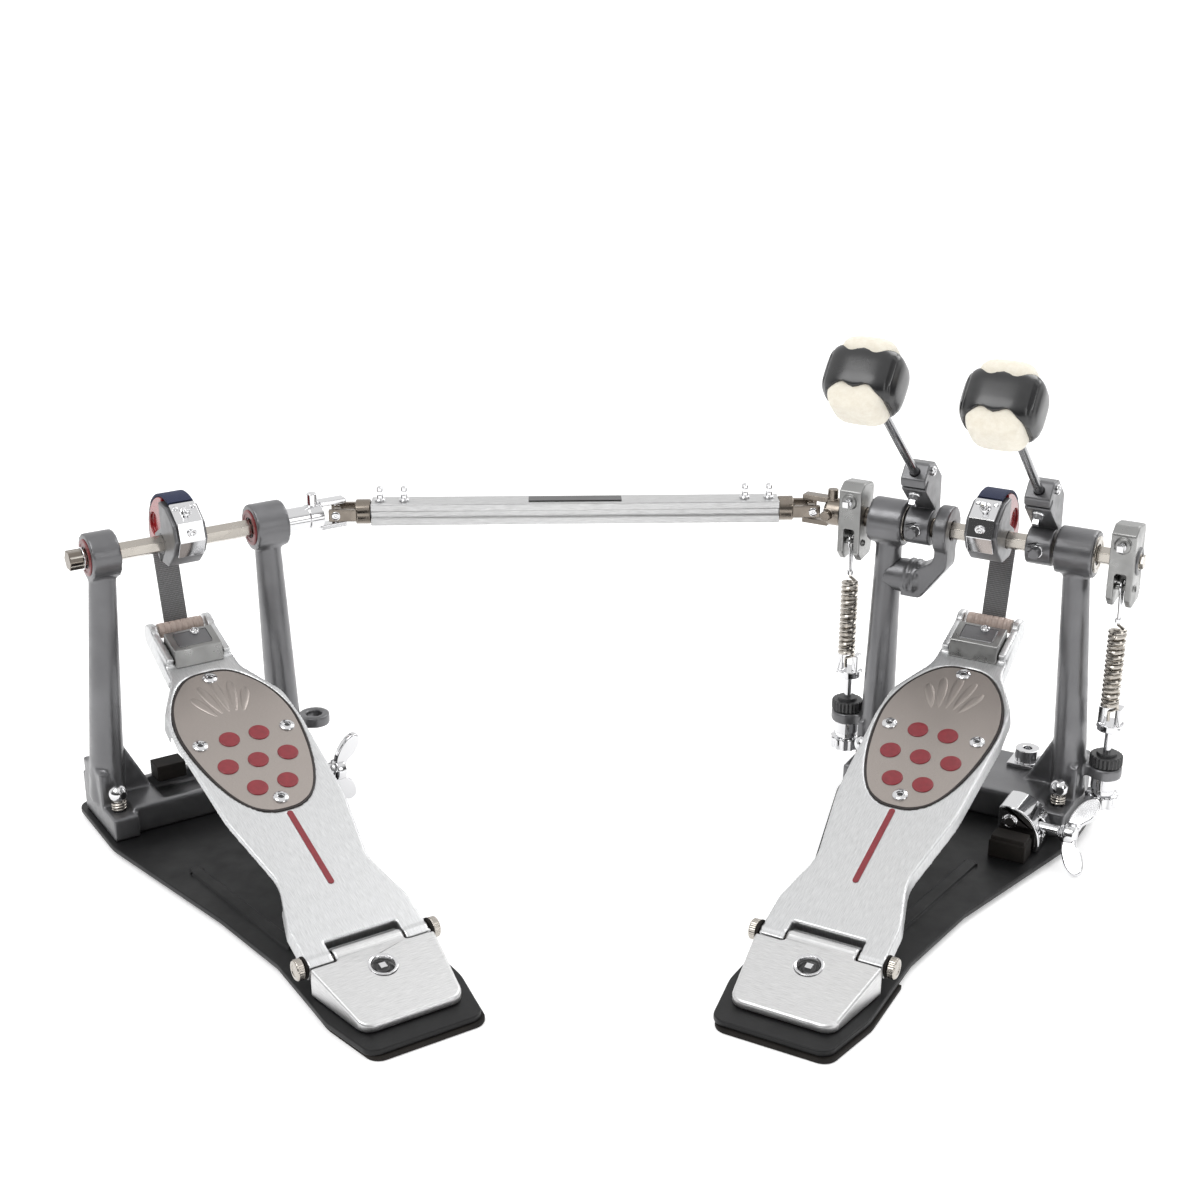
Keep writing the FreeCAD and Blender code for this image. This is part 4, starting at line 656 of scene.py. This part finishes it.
def hinge_pin(side):
    """Pin with a knurled knob and a black washer at each end."""
    low, high = local_box(side + "_heel_pin", FRAMES[side])
    half, y = high.x, (low.y + high.y) / 2
    pin = Piece(side + "_heel_pin_detail", FRAMES[side])
    pin.turned([(2.8, -half + 2), (2.8, half - 2)], "nickel", at(0, y, HINGE_Z) @ TO_X)
    for way in (1, -1):
        end = at(way * (half - KNOB_LONG), y, HINGE_Z) @ turn(90 * way, "Y")
        pin.turned(KNOB_WASHER, "rubber", end)
        pin.turned(KNOB, "nickel", end, 72, flutes=24, depth=0.35, over=6.0)
    pin.made(side + "_stand", (side + "_heel_pin",), 0.12)


def helix(x, y, low, high, radius, turns, steps=18):
    """Points up a coil; steps is their number in one turn."""
    count = int(turns * steps)
    angles = [2 * math.pi * i / steps for i in range(count + 1)]
    return [(x + radius * math.cos(a), y + radius * math.sin(a), low + (high - low) * i / count)
            for i, a in enumerate(angles)]


def spurs(side):
    """Round-headed spur screws, each through a short spring on the low part of its foot."""
    low, high = local_box(side + "_spur_screws", FRAMES[side])
    y = (low.y + high.y) / 2
    piece = Piece(side + "_spur_detail", FRAMES[side])
    for x in (low.x + SPUR_BALL, high.x - SPUR_BALL):
        top = high.z - SPUR_BALL
        stand = at(x, y, 0)
        piece.turned([(2.7, low.z), (2.7, top - 3), (3.4, top - 6), (3.6, top - 4)], "chrome", stand, 24)
        piece.swept(helix(x, y, top - 11.4, top - 5.6, 4.3, 3.2), 0.75, "nickel", sides=8)
        ball = [(SPUR_BALL * math.cos(a), top + SPUR_BALL * math.sin(a))
                for a in (math.radians(-72 + 16 * k) for k in range(10))]
        piece.turned(ball, "chrome", stand, 32)
        # a black bar through the ball, showing only at its ends, stands for the cross hole: painted shade
        piece.turned(SPUR_HOLE, "plate_and_hole_shade", at(x, y, top) @ turn(20, "Z") @ TO_Y, 24)
    piece.made(side + "_stand", (side + "_spur_screws",), 0)


def wing(side):
    """Wing screw: a stepped hub with two rounded wings that sweep outwards from it."""
    low, high = local_box(side + "_wing_screw", FRAMES[side])
    x = high.x - WING_THICK
    y, z = (low.y + high.y) / 2, (low.z + high.z) / 2
    seat = at(x, y, z) @ turn(WING_LEAN[side], "X")
    piece = Piece(side + "_wing_detail", FRAMES[side])
    shank_end = (WING_HUB[0][0], low.x - x)
    piece.turned([shank_end] + WING_HUB, "chrome", seat @ TO_X, 40)
    ear = spline([(x, z, 0) for x, z in WING_EAR], True, 4)
    for way in (1, -1):
        piece.padded([(p.x, p.y * way) for p in ear], -2.3, 2.3, "chrome", seat @ DRAWN_XZ)
    piece.made(side + "_wing", (side + "_wing_screw",), 1.2, 3, 50)


# ---------------------------------------------------------------- footboards


def oval(grow):
    """The inset's egg-shaped outline, widest two thirds of the way up."""
    half, top, low = OVAL_HALF + grow, OVAL_TOP + grow, OVAL_LOW - grow
    right = [(0.42, top - 3.5), (0.8, 227), (0.985, 205), (0.99, 182), (0.85, 152), (0.6, 128),
             (0.3, low + 2)]
    side = [Vector((half * share, s, 0)) for share, s in right]
    other = [Vector((-p.x, p.y, 0)) for p in reversed(side)]
    return spline([Vector((0, top, 0))] + side + [Vector((0, low, 0))] + other, True, 6)


def tread(side):
    """The board, with its inset, the gasket round that and the five grooves that fan out on it."""
    board = board_frame(side)
    cast(side + "_footboard", M["board"], 0.9, 4, board)
    piece = Piece(side + "_inset_detail", board)
    piece.padded([(p.x, p.y) for p in oval(-0.05)], -1.9, 0.2, "inset")
    piece.swept(oval(0.85), 0.85, "gasket", at(0, 0, -0.2), 8, closed=True, flat=0.7)
    for k, length in enumerate(GROOVE_LENGTHS):
        def drop(a, b, half=length / 2):
            wide = 3.0 * math.cos(b) * math.cos(a) * (1 + 0.35 * math.sin(a))
            return wide, half * math.cos(b) * math.sin(a), 0.75 * math.sin(b)

        fan = turn(GROOVE_FAN * (2 - k), "Z")
        groove = at(0, GROOVES_FROM, 0.12) @ fan @ at(0, 22 + length / 2, 0)
        piece.grid(drop, 24, 10, "inset", groove)
    piece.made(side + "_treadle", (side + "_inset",), 0.15, 2, 60)


def marks(side):
    """Seven domed grip dots and the stripe with its rounded ends."""
    low, _ = local_box(side + "_grip_marks", board_frame(side))
    piece = Piece(side + "_marks_detail", board_frame(side))
    for a, b in ((-0.5, 1), (0.5, 1), (-1, 0), (0, 0), (1, 0), (-0.5, -1), (0.5, -1)):
        piece.turned(GRIP_DOT, "red", at(a * DOT_GAP_X, DOT_MID + b * DOT_GAP_S, 0), 40)
    half = STRIPE_HALF
    bend = [math.radians(180 + 20 * k) for k in range(10)]
    foot = [(half * math.cos(a), low.y + half + half * math.sin(a)) for a in bend]
    head = [(half * math.cos(a + math.pi), low.y + STRIPE_LONG + half * math.sin(a + math.pi)) for a in bend]
    piece.padded(foot + head, -0.2, 0.28, "red")
    piece.made(side + "_treadle", (side + "_grip_marks",), 0.1)


def tread_screws(side):
    piece = Piece(side + "_screw_detail", board_frame(side))
    sides = ((SCREW_SIDE_X, SCREW_SIDE), (-SCREW_SIDE_X, SCREW_SIDE))
    for x, s in ((0, SCREW_TOP), *sides, (0, SCREW_LOW)):
        seat = at(x, s, 0.2)
        piece.turned(TREAD_SCREW, "chrome", seat, 36)
        # a black hexagon on the socket's floor: painted shade in the socket
        piece.prism(3.4, 0.45, 0.75, "plate_and_hole_shade", seat)
    piece.made(side + "_treadle", (side + "_inset_screws",), 0.08)


def toe_clamp(side):
    """Trapezoid block that holds the belt's end, its roller and its screw."""
    _, high = local_box(side + "_belt_clamp", board_frame(side))
    piece = Piece(side + "_clamp_detail", board_frame(side))
    piece.padded(CLAMP_BLOCK, -CLAMP_HALF, CLAMP_HALF, "lever", DRAWN_YZ)
    piece.padded(CLAMP_PAD, -CLAMP_HALF + 5, CLAMP_HALF - 5, "cast", DRAWN_YZ)
    grooved = [(4.6, -15.4), (5.1, -14.8)]
    for k in range(7):
        grooved += [(5.1, -14 + 4 * k), (5.1, -11.4 + 4 * k), (4.7, -11 + 4 * k), (4.7, -10.4 + 4 * k)]
    grooved += [(5.1, 14.8), (4.6, 15.4)]
    piece.turned(grooved, "roller", at(0, high.y - ROLLER_RADIUS, ROLLER_N) @ TO_X, 32)
    piece.turned(CLAMP_SCREW_HEAD, "chrome", at(*CLAMP_SCREW), 28)
    piece.made(side + "_treadle", (side + "_belt_clamp",), 0.7, 2)


# ---------------------------------------------------------------- cams, belts and plates


def ribbon(piece, centre, half, thick, mat):
    """A strip of webbing along a centre line in the YZ plane, with rounded selvedges."""
    section = ((-half, 0.25), (-half + 0.5, 0.5), (half - 0.5, 0.5), (half, 0.25),
               (half, -0.25), (half - 0.5, -0.5), (-half + 0.5, -0.5), (-half, -0.25))
    spots = []
    for i, (y, z) in enumerate(centre):
        ahead, back = centre[min(i + 1, len(centre) - 1)], centre[max(i - 1, 0)]
        along = Vector((ahead[0] - back[0], ahead[1] - back[1])).normalized()
        out = Vector((-along.y, along.x))
        spots += [(x, y + out.x * n * thick, z + out.y * n * thick) for x, n in section]
    piece.fill(spots, tube_faces(len(centre), len(section)), mat, Matrix())


def arc(radius, start, end, steps):
    """Points (y, z) round the X axis, between two angles in degrees."""
    turns = [math.radians(start + (end - start) * k / steps) for k in range(steps + 1)]
    return [(radius * math.cos(a), radius * math.sin(a)) for a in turns]


def belts(side):
    """One strip hangs from the cam to the toe, fixed where it is drawn; the other turns with the cam."""
    axle = axle_frame(side)
    middle = WHEEL + BELT_OUT
    roller = axle.inverted() @ board_frame(side) @ Vector((0, ROLLER_S, ROLLER_N))
    under = [(roller.y + y, roller.z + z) for y, z in arc(ROLLER_RADIUS + 1.2, -120, 0, 14)]
    over = arc(middle, BELT_LEAVES, HANGING_END, 23)
    foot, top = under[-1], over[0]
    run = [(foot[0] + (top[0] - foot[0]) * k / 24, foot[1] + (top[1] - foot[1]) * k / 24)
           for k in range(1, 24)]
    hanging = Piece(side + "_belt_hanging", axle)
    ribbon(hanging, under + run + over, BELT_HALF, BELT_THICK, "belt")
    start = axle @ Vector((0, *top))
    end = axle @ Vector((0, *foot))
    hanging.made(None, (side + "_belt",), 0, blend=(side + "_stand", side + "_treadle", start, end))
    wrapped = Piece(side + "_belt_wrapped", axle)
    wrap = arc(middle + WRAP_OUT, WRAP_START, WRAP_END, 28)
    ribbon(wrapped, wrap, BELT_HALF + 0.15, WRAP_THICK, "belt_top")
    wrapped.made(side + "_shaft", (side + "_belt_wrap",), 0)


def cam(side):
    axle = axle_frame(side)
    softened(side + "_cam", M["cast"], 1.2, 3, axle)
    softened(side + "_cam_insert", M["insert_red"], 0.9, 3, axle)
    softened(side + "_hex_axle", M["nickel"], 0.5, 2, axle)
    if side == "slave":
        low, _ = local_box("slave_hex_axle", axle)
        bolt = Piece("slave_axle_bolt", axle)
        seat = at(low.x, 0, 0) @ TO_X
        bolt.turned(AXLE_WASHER, "chrome", seat, 32)
        bolt.prism(12.0, -0.4, 8.4, "dark_nickel", seat)
        bolt.made("slave_shaft", (), 0.5)


def key_bolt(piece, seat, scale=1.0):
    """Square-headed drum key bolt on a round flange, standing along the seat's Z."""
    piece.turned([(radius * scale, height) for radius, height in KEY_FLANGE], "chrome", seat, 32)
    piece.prism(4.2 * scale, 4.2 * scale, 8.4 * scale, "chrome", seat, 4)


def belt_plate(side):
    """Chromed facets over the belt's end, with the key bolt, two rivets and a screw."""
    piece = Piece(side + "_belt_plate_detail", axle_frame(side))
    piece.padded(BELT_PLATE, -8.6, 8.6, "chrome", DRAWN_YZ)
    key_bolt(piece, at(0, -19.4, 25.6) @ turn(PLATE_LEAN, "X"), 0.85)
    for x in (-5.9, 5.9):
        piece.turned(RIVET, "chrome", at(x, -17.0, 27.5) @ turn(PLATE_LEAN, "X"), 20)
    piece.turned(PLATE_SCREW, "chrome", at(0, -28.3, 13.5) @ turn(105, "X"), 28)
    piece.made(side + "_shaft", (side + "_belt_plate",), 0.45, 2)


def spring_levers():
    """Levers that pull the springs, each with a key bolt in front and a cap with a nut at its outer end."""
    axle = axle_frame("primary")
    for side in HOLDER_X:
        node = side + "_spring_cam"
        softened(node, M["lever"], 1.1, 3, axle)
        low, high = local_box(node, axle)
        piece = Piece(side + "_lever_bolts", axle)
        key_bolt(piece, at((low.x + high.x) / 2, -13.2, 13) @ turn(90, "X"))
        outer, way = (high.x, 1) if side == "right" else (low.x, -1)
        end = at(outer - 0.4 * way, 0, 0) @ turn(90 * way, "Y")
        piece.turned(LEVER_CAP, "cast", end, 40)
        piece.prism(8.4, 0.2, 3.4, "nickel", end)
        piece.made(BODY_OF[node], (), 0.25)


def holders():
    """Clamp blocks of the beater rods, with a key bolt through each."""
    for side, x in HOLDER_X.items():
        node = side + "_holder"
        place = beater_frame(x)
        softened(node, M["cast"], 0.9, 3, place)
        piece = Piece(side + "_holder_bolts", place)
        key_bolt(piece, at(0, 9.4, 30) @ turn(90, "X"), 0.95)
        key_bolt(piece, at(0, -8.4, 9.8) @ turn(40, "X"), 0.95)
        piece.turned(HOLDER_SCREW, "chrome", at(8.4, 26, 35) @ TO_X, 28)
        piece.made(BODY_OF[node], (), 0.2)


# ---------------------------------------------------------------- beaters


def puffed(value, power):
    """Pushes a sine or cosine towards 1, which squares off a globe."""
    return math.copysign(abs(value) ** power, value)


def beater_heads():
    """A domed black shell, grooved at its sides, round a felt block that stands out front and back."""
    for side, x in HOLDER_X.items():
        place = beater_frame(x)
        node = side + "_beater_head"
        low, high = local_box(node, place)
        centre = at(0, ROD_OFFSET, (low.z + high.z) / 2)
        hx, hz = (high.x - low.x) / 2, (high.z - low.z) / 2
        fy = (high.y - low.y) / 2
        wide = fy * SHELL_DEEP

        def shell(a, b, hx=hx, hz=hz, wide=wide):
            px = hx * puffed(math.cos(b) * math.cos(a), 0.62)
            pz = hz * puffed(math.cos(b) * math.sin(a), 0.66)
            py = wide * puffed(math.sin(b), 0.55)
            outward = abs(px) / hx
            edge = min(1.0, outward ** 3)
            scallop = 0.08 * math.cos(3 * math.pi * px / hx)
            limit = wide * (0.58 + 0.42 * edge + scallop * (1 - edge))
            if any(near < outward < far for near, far in SHELL_GROOVES):
                pz *= 0.955
                limit *= 0.965
            return px, max(-limit, min(limit, py)), pz

        def felt(a, b, hx=hx, hz=hz, fy=fy):
            shape = (puffed(math.cos(b) * math.cos(a), 0.42), puffed(math.cos(b) * math.sin(a), 0.42),
                     puffed(math.sin(b), 0.40))
            crown = 1 - 0.05 * (shape[0] ** 2 + shape[1] ** 2)
            return hx * FELT_WIDE * shape[0], fy * shape[2] * crown, hz * FELT_HIGH * shape[1]

        piece = Piece(side + "_head_detail", place)
        piece.grid(shell, 120, 60, "shell", centre)
        piece.grid(felt, 72, 40, "felt", centre)
        collar = [(4.6, low.z - 0.2), (5.2, low.z + 0.6), (5.2, low.z + 5)]
        piece.turned(collar, "shell", at(0, ROD_OFFSET, 0), 32)
        piece.made(BODY_OF[node], (node,), 0)


def beater_rods():
    """Plain rods with a chamfered foot and one turned line."""
    for side, x in HOLDER_X.items():
        node = side + "_beater_rod"
        low, high = local_box(node, beater_frame(x))
        mark = low.z + ROD_MARK
        line = [(ROD_RADIUS, mark), (2.8, mark + 0.4), (2.8, mark + 1), (ROD_RADIUS, mark + 1.4)]
        profile = [(2.2, low.z), (ROD_RADIUS, low.z + 0.8), *line, (ROD_RADIUS, high.z)]
        piece = Piece(side + "_rod_detail", beater_frame(x))
        piece.turned(profile, "rod", at(0, ROD_OFFSET, 0), 32)
        piece.made(BODY_OF[node], (node,), 0)


# ---------------------------------------------------------------- springs


def springs():
    """Each spring is a close helix with hooked ends, drawn between its clevis and its link."""
    for side in HOLDER_X:
        low, high = local_box(side + "_spring", FRAMES["primary"])
        x, y = (low.x + high.x) / 2, (low.y + high.y) / 2
        bottom, top = low.z + 9, high.z - 3
        piece = Piece(side + "_spring_coils", FRAMES["primary"])
        coil = helix(x, y, bottom + 1.5, top - 1.5, COIL_RADIUS, COIL_TURNS, 20)
        piece.swept(coil, COIL_WIRE, "nickel", sides=8)
        for end, tip, way in ((coil[-1], high.z, 1), (coil[0], low.z, -1)):
            hook = spline([end, (x + 2.5, y, end[2] + 1.6 * way), (x, y, end[2] + 3.2 * way),
                           (x, y, tip - 0.8 * way)])
            piece.swept(hook, 1.1, "nickel", sides=8)
        start = FRAMES["primary"] @ Vector((x, y, bottom))
        end = FRAMES["primary"] @ Vector((x, y, top))
        piece.made(None, (side + "_spring",), 0, blend=(side + "_spring", side + "_link", start, end))
        link(side)
        nuts(side, x)


def link(side):
    """Long wire link: a loop round the lever's pin that runs down to the spring's hook."""
    node = side + "_spring_link"
    low, high = local_box(node, FRAMES["primary"])
    x, y, eye = (low.x + high.x) / 2, (low.y + high.y) / 2, high.z - 5.8
    bend = [math.radians(-140 + 20 * k) for k in range(15)]
    loop = [(x, y + 4.9 * math.sin(a), eye + 4.9 * math.cos(a)) for a in bend]
    wire = spline([(x, y - 1.0, low.z + 1.2), (x, y - 1.4, low.z + 8)], False, 4) + loop
    wire += spline([(x, y + 1.4, low.z + 8), (x, y + 1.0, low.z + 1.2)], False, 4)
    piece = Piece(side + "_link_detail", FRAMES["primary"])
    piece.swept(wire, 0.95, "chrome", sides=10)
    bead = [(1.6, low.z), (2.3, low.z + 0.5), (2.3, low.z + 3), (1.6, low.z + 3.5)]
    piece.turned(bead, "chrome", at(x, y, 0), 24)
    piece.made(BODY_OF[node], (node,), 0)


def nuts(side, x):
    """Knurled black nut on the lug and the fluted chrome nut under it."""
    node = side + "_spring_nuts"
    low, high = local_box(node, FRAMES["primary"])
    stand = at(x, (low.y + high.y) / 2, 0)
    piece = Piece(side + "_nuts_detail", FRAMES["primary"])
    upper = [(4, high.z - 9.5), (10.2, high.z - 9.5), (10.9, high.z - 8.9), (10.9, high.z - 2.6),
             (10.2, high.z - 2.0), (6.8, high.z - 2.0), (6.4, high.z), (3.0, high.z)]
    lower = [(4, low.z), (10.4, low.z), (11.3, low.z + 1), (11.4, low.z + 7.5), (10.6, low.z + 8.6),
             (7.6, low.z + 9.2), (7.2, low.z + 12), (3.0, low.z + 12)]
    piece.turned(upper, "dark_steel", stand, 96, flutes=24, depth=0.7, over=9.0)
    piece.turned(lower, "chrome", stand, 96, flutes=12, depth=1.3, over=9.0)
    piece.made(BODY_OF[node], (node,), 0)


# ---------------------------------------------------------------- drive shaft and clamp


def drive_shaft():
    """The telescoping sleeve with its four clamping bolts and blank name plate, between two cross joints."""
    drive = drive_frame()
    softened("drive_sleeve", M["silver"], 0.8, 3, drive)
    softened("fixed_yoke", M["dark_nickel"], 0.7, 3, drive)
    softened("slide_yoke", M["dark_nickel"], 0.7, 3, drive)
    low, high = local_box("sleeve_fittings", drive)
    top = high.z - 10.5
    piece = Piece("sleeve_fittings_detail", drive)
    for x in (low.x + 3.8, low.x + 20.4, high.x - 20.4, high.x - 3.8):
        seat = at(x, 0, top + 0.05)
        key_bolt(piece, seat, 0.85)
        piece.turned(FITTING_TIP, "chrome", seat, 24)
    piece.box((0, 0, top + 0.35), (64, 10, 0.6), "plate_and_hole_shade")
    piece.made(BODY_OF["sleeve_fittings"], ("sleeve_fittings",), 0.12)
    for hand, centre, yoke in (("left", -JOINT_HALF, "slide_yoke"), ("right", JOINT_HALF, "fixed_yoke")):
        caps = Piece("cross_caps_" + hand, drive)
        for way in (1, -1):
            caps.turned(CROSS_CAP, "chrome", at(centre, 10.1 * way, 0) @ turn(-90 * way, "X"), 28)
        caps.made(BODY_OF[yoke], (), 0.1)


def rest_of_primary():
    """Pieces whose CAD shape needs only rounded edges, and the loop arm."""
    cast("loop_arm", M["cast"], 0.9, 5)
    softened("tension_rods", M["chrome"], 0.6, 3)
    softened("hoop_collar", M["chrome"], 0.7, 3)
    softened("hoop_jaw", M["chrome"], 1.2, 3)
    softened("stub_axle", M["dark_nickel"], 0.6, 3)
    softened("slave_collar", M["chrome"], 0.6, 3)


# ---------------------------------------------------------------- stage


def area(name, place, target, size, power):
    """A rectangular lamp that faces its target; metres and watts."""
    light = bpy.data.lights.new(name, "AREA")
    light.shape = "RECTANGLE"
    light.size, light.size_y = size
    light.energy = power
    obj = bpy.data.objects.new(name, light)
    bpy.context.scene.collection.objects.link(obj)
    obj.location = place
    obj.rotation_euler = (Vector(target) - Vector(place)).to_track_quat("-Z", "Y").to_euler()


def studio_world():
    """White above and ahead, dim behind the camera, so that polished metal has dark to show."""
    world = bpy.data.worlds.new("studio")
    bpy.context.scene.world = world
    world.use_nodes = True
    nodes, links = world.node_tree.nodes, world.node_tree.links
    where = nodes.new("ShaderNodeTexCoord")
    parts = nodes.new("ShaderNodeSeparateXYZ")
    links.new(where.outputs["Generated"], parts.inputs[0])
    bands = []
    depth = ("Y", [(0.0, 0.05), (0.34, 0.12), (0.55, 1.0)])
    height = ("Z", [(0.66, 0.0), (0.86, 1.0)])
    for socket, stops in (depth, height):
        half = nodes.new("ShaderNodeMapRange")
        half.inputs["From Min"].default_value = -1
        links.new(parts.outputs[socket], half.inputs["Value"])
        bands.append(ramp(world, half.outputs["Result"], stops))
    most = nodes.new("ShaderNodeMath")
    most.operation = "MAXIMUM"
    links.new(bands[0], most.inputs[0])
    links.new(bands[1], most.inputs[1])
    links.new(most.outputs[0], nodes["Background"].inputs["Color"])
    nodes["Background"].inputs["Strength"].default_value = 1.0


def stage():
    """White floor, three lamps and the camera."""
    bm = bmesh.new()
    bmesh.ops.create_grid(bm, x_segments=1, y_segments=1, size=12)
    floor = to_object("floor", bm)
    floor.location = (0, 0, -0.0003)
    paper = basic("white_floor", (0.90, 0.90, 0.90), rough=0.9, spec=0.1)
    shader = paper.node_tree.nodes["Principled BSDF"]
    shader.inputs["Emission Color"].default_value = (1, 1, 1, 1)
    shader.inputs["Emission Strength"].default_value = 0.32
    floor.data.materials.append(paper)
    studio_world()
    area("key", (-1.1, -0.9, 1.9), (0, 0, 0.1), (1.2, 1.2), 20)
    area("rim", (1.2, 0.9, 1.5), (0, 0, 0.15), (1.0, 1.4), 14)
    area("fill", (1.3, -1.3, 0.8), (0.1, 0, 0.1), (0.7, 0.9), 5)
    lens = bpy.data.cameras.new("camera")
    lens.sensor_fit = "HORIZONTAL"
    lens.sensor_width = 36.0
    lens.lens = CAMERA_LENS
    lens.clip_end = 50
    obj = bpy.data.objects.new("camera", lens)
    bpy.context.scene.collection.objects.link(obj)
    obj.location = Vector(JOINTS["drive_shaft_turn"]["pos_m"]) + CAMERA_FROM_SHAFT
    obj.rotation_euler = (math.radians(90 - CAMERA_DOWN), 0, math.radians(CAMERA_YAW))
    bpy.context.scene.camera = obj
    bpy.context.scene.view_settings.view_transform = "Standard"


for pedal in PEDALS:
    plate_and_sole(pedal)
    frame_casting(pedal)
    heel(pedal)
    hinge_pin(pedal)
    spurs(pedal)
    wing(pedal)
    tread(pedal)
    marks(pedal)
    tread_screws(pedal)
    toe_clamp(pedal)
    belts(pedal)
    cam(pedal)
    belt_plate(pedal)
spring_levers()
holders()
beater_heads()
beater_rods()
springs()
drive_shaft()
rest_of_primary()
stage()
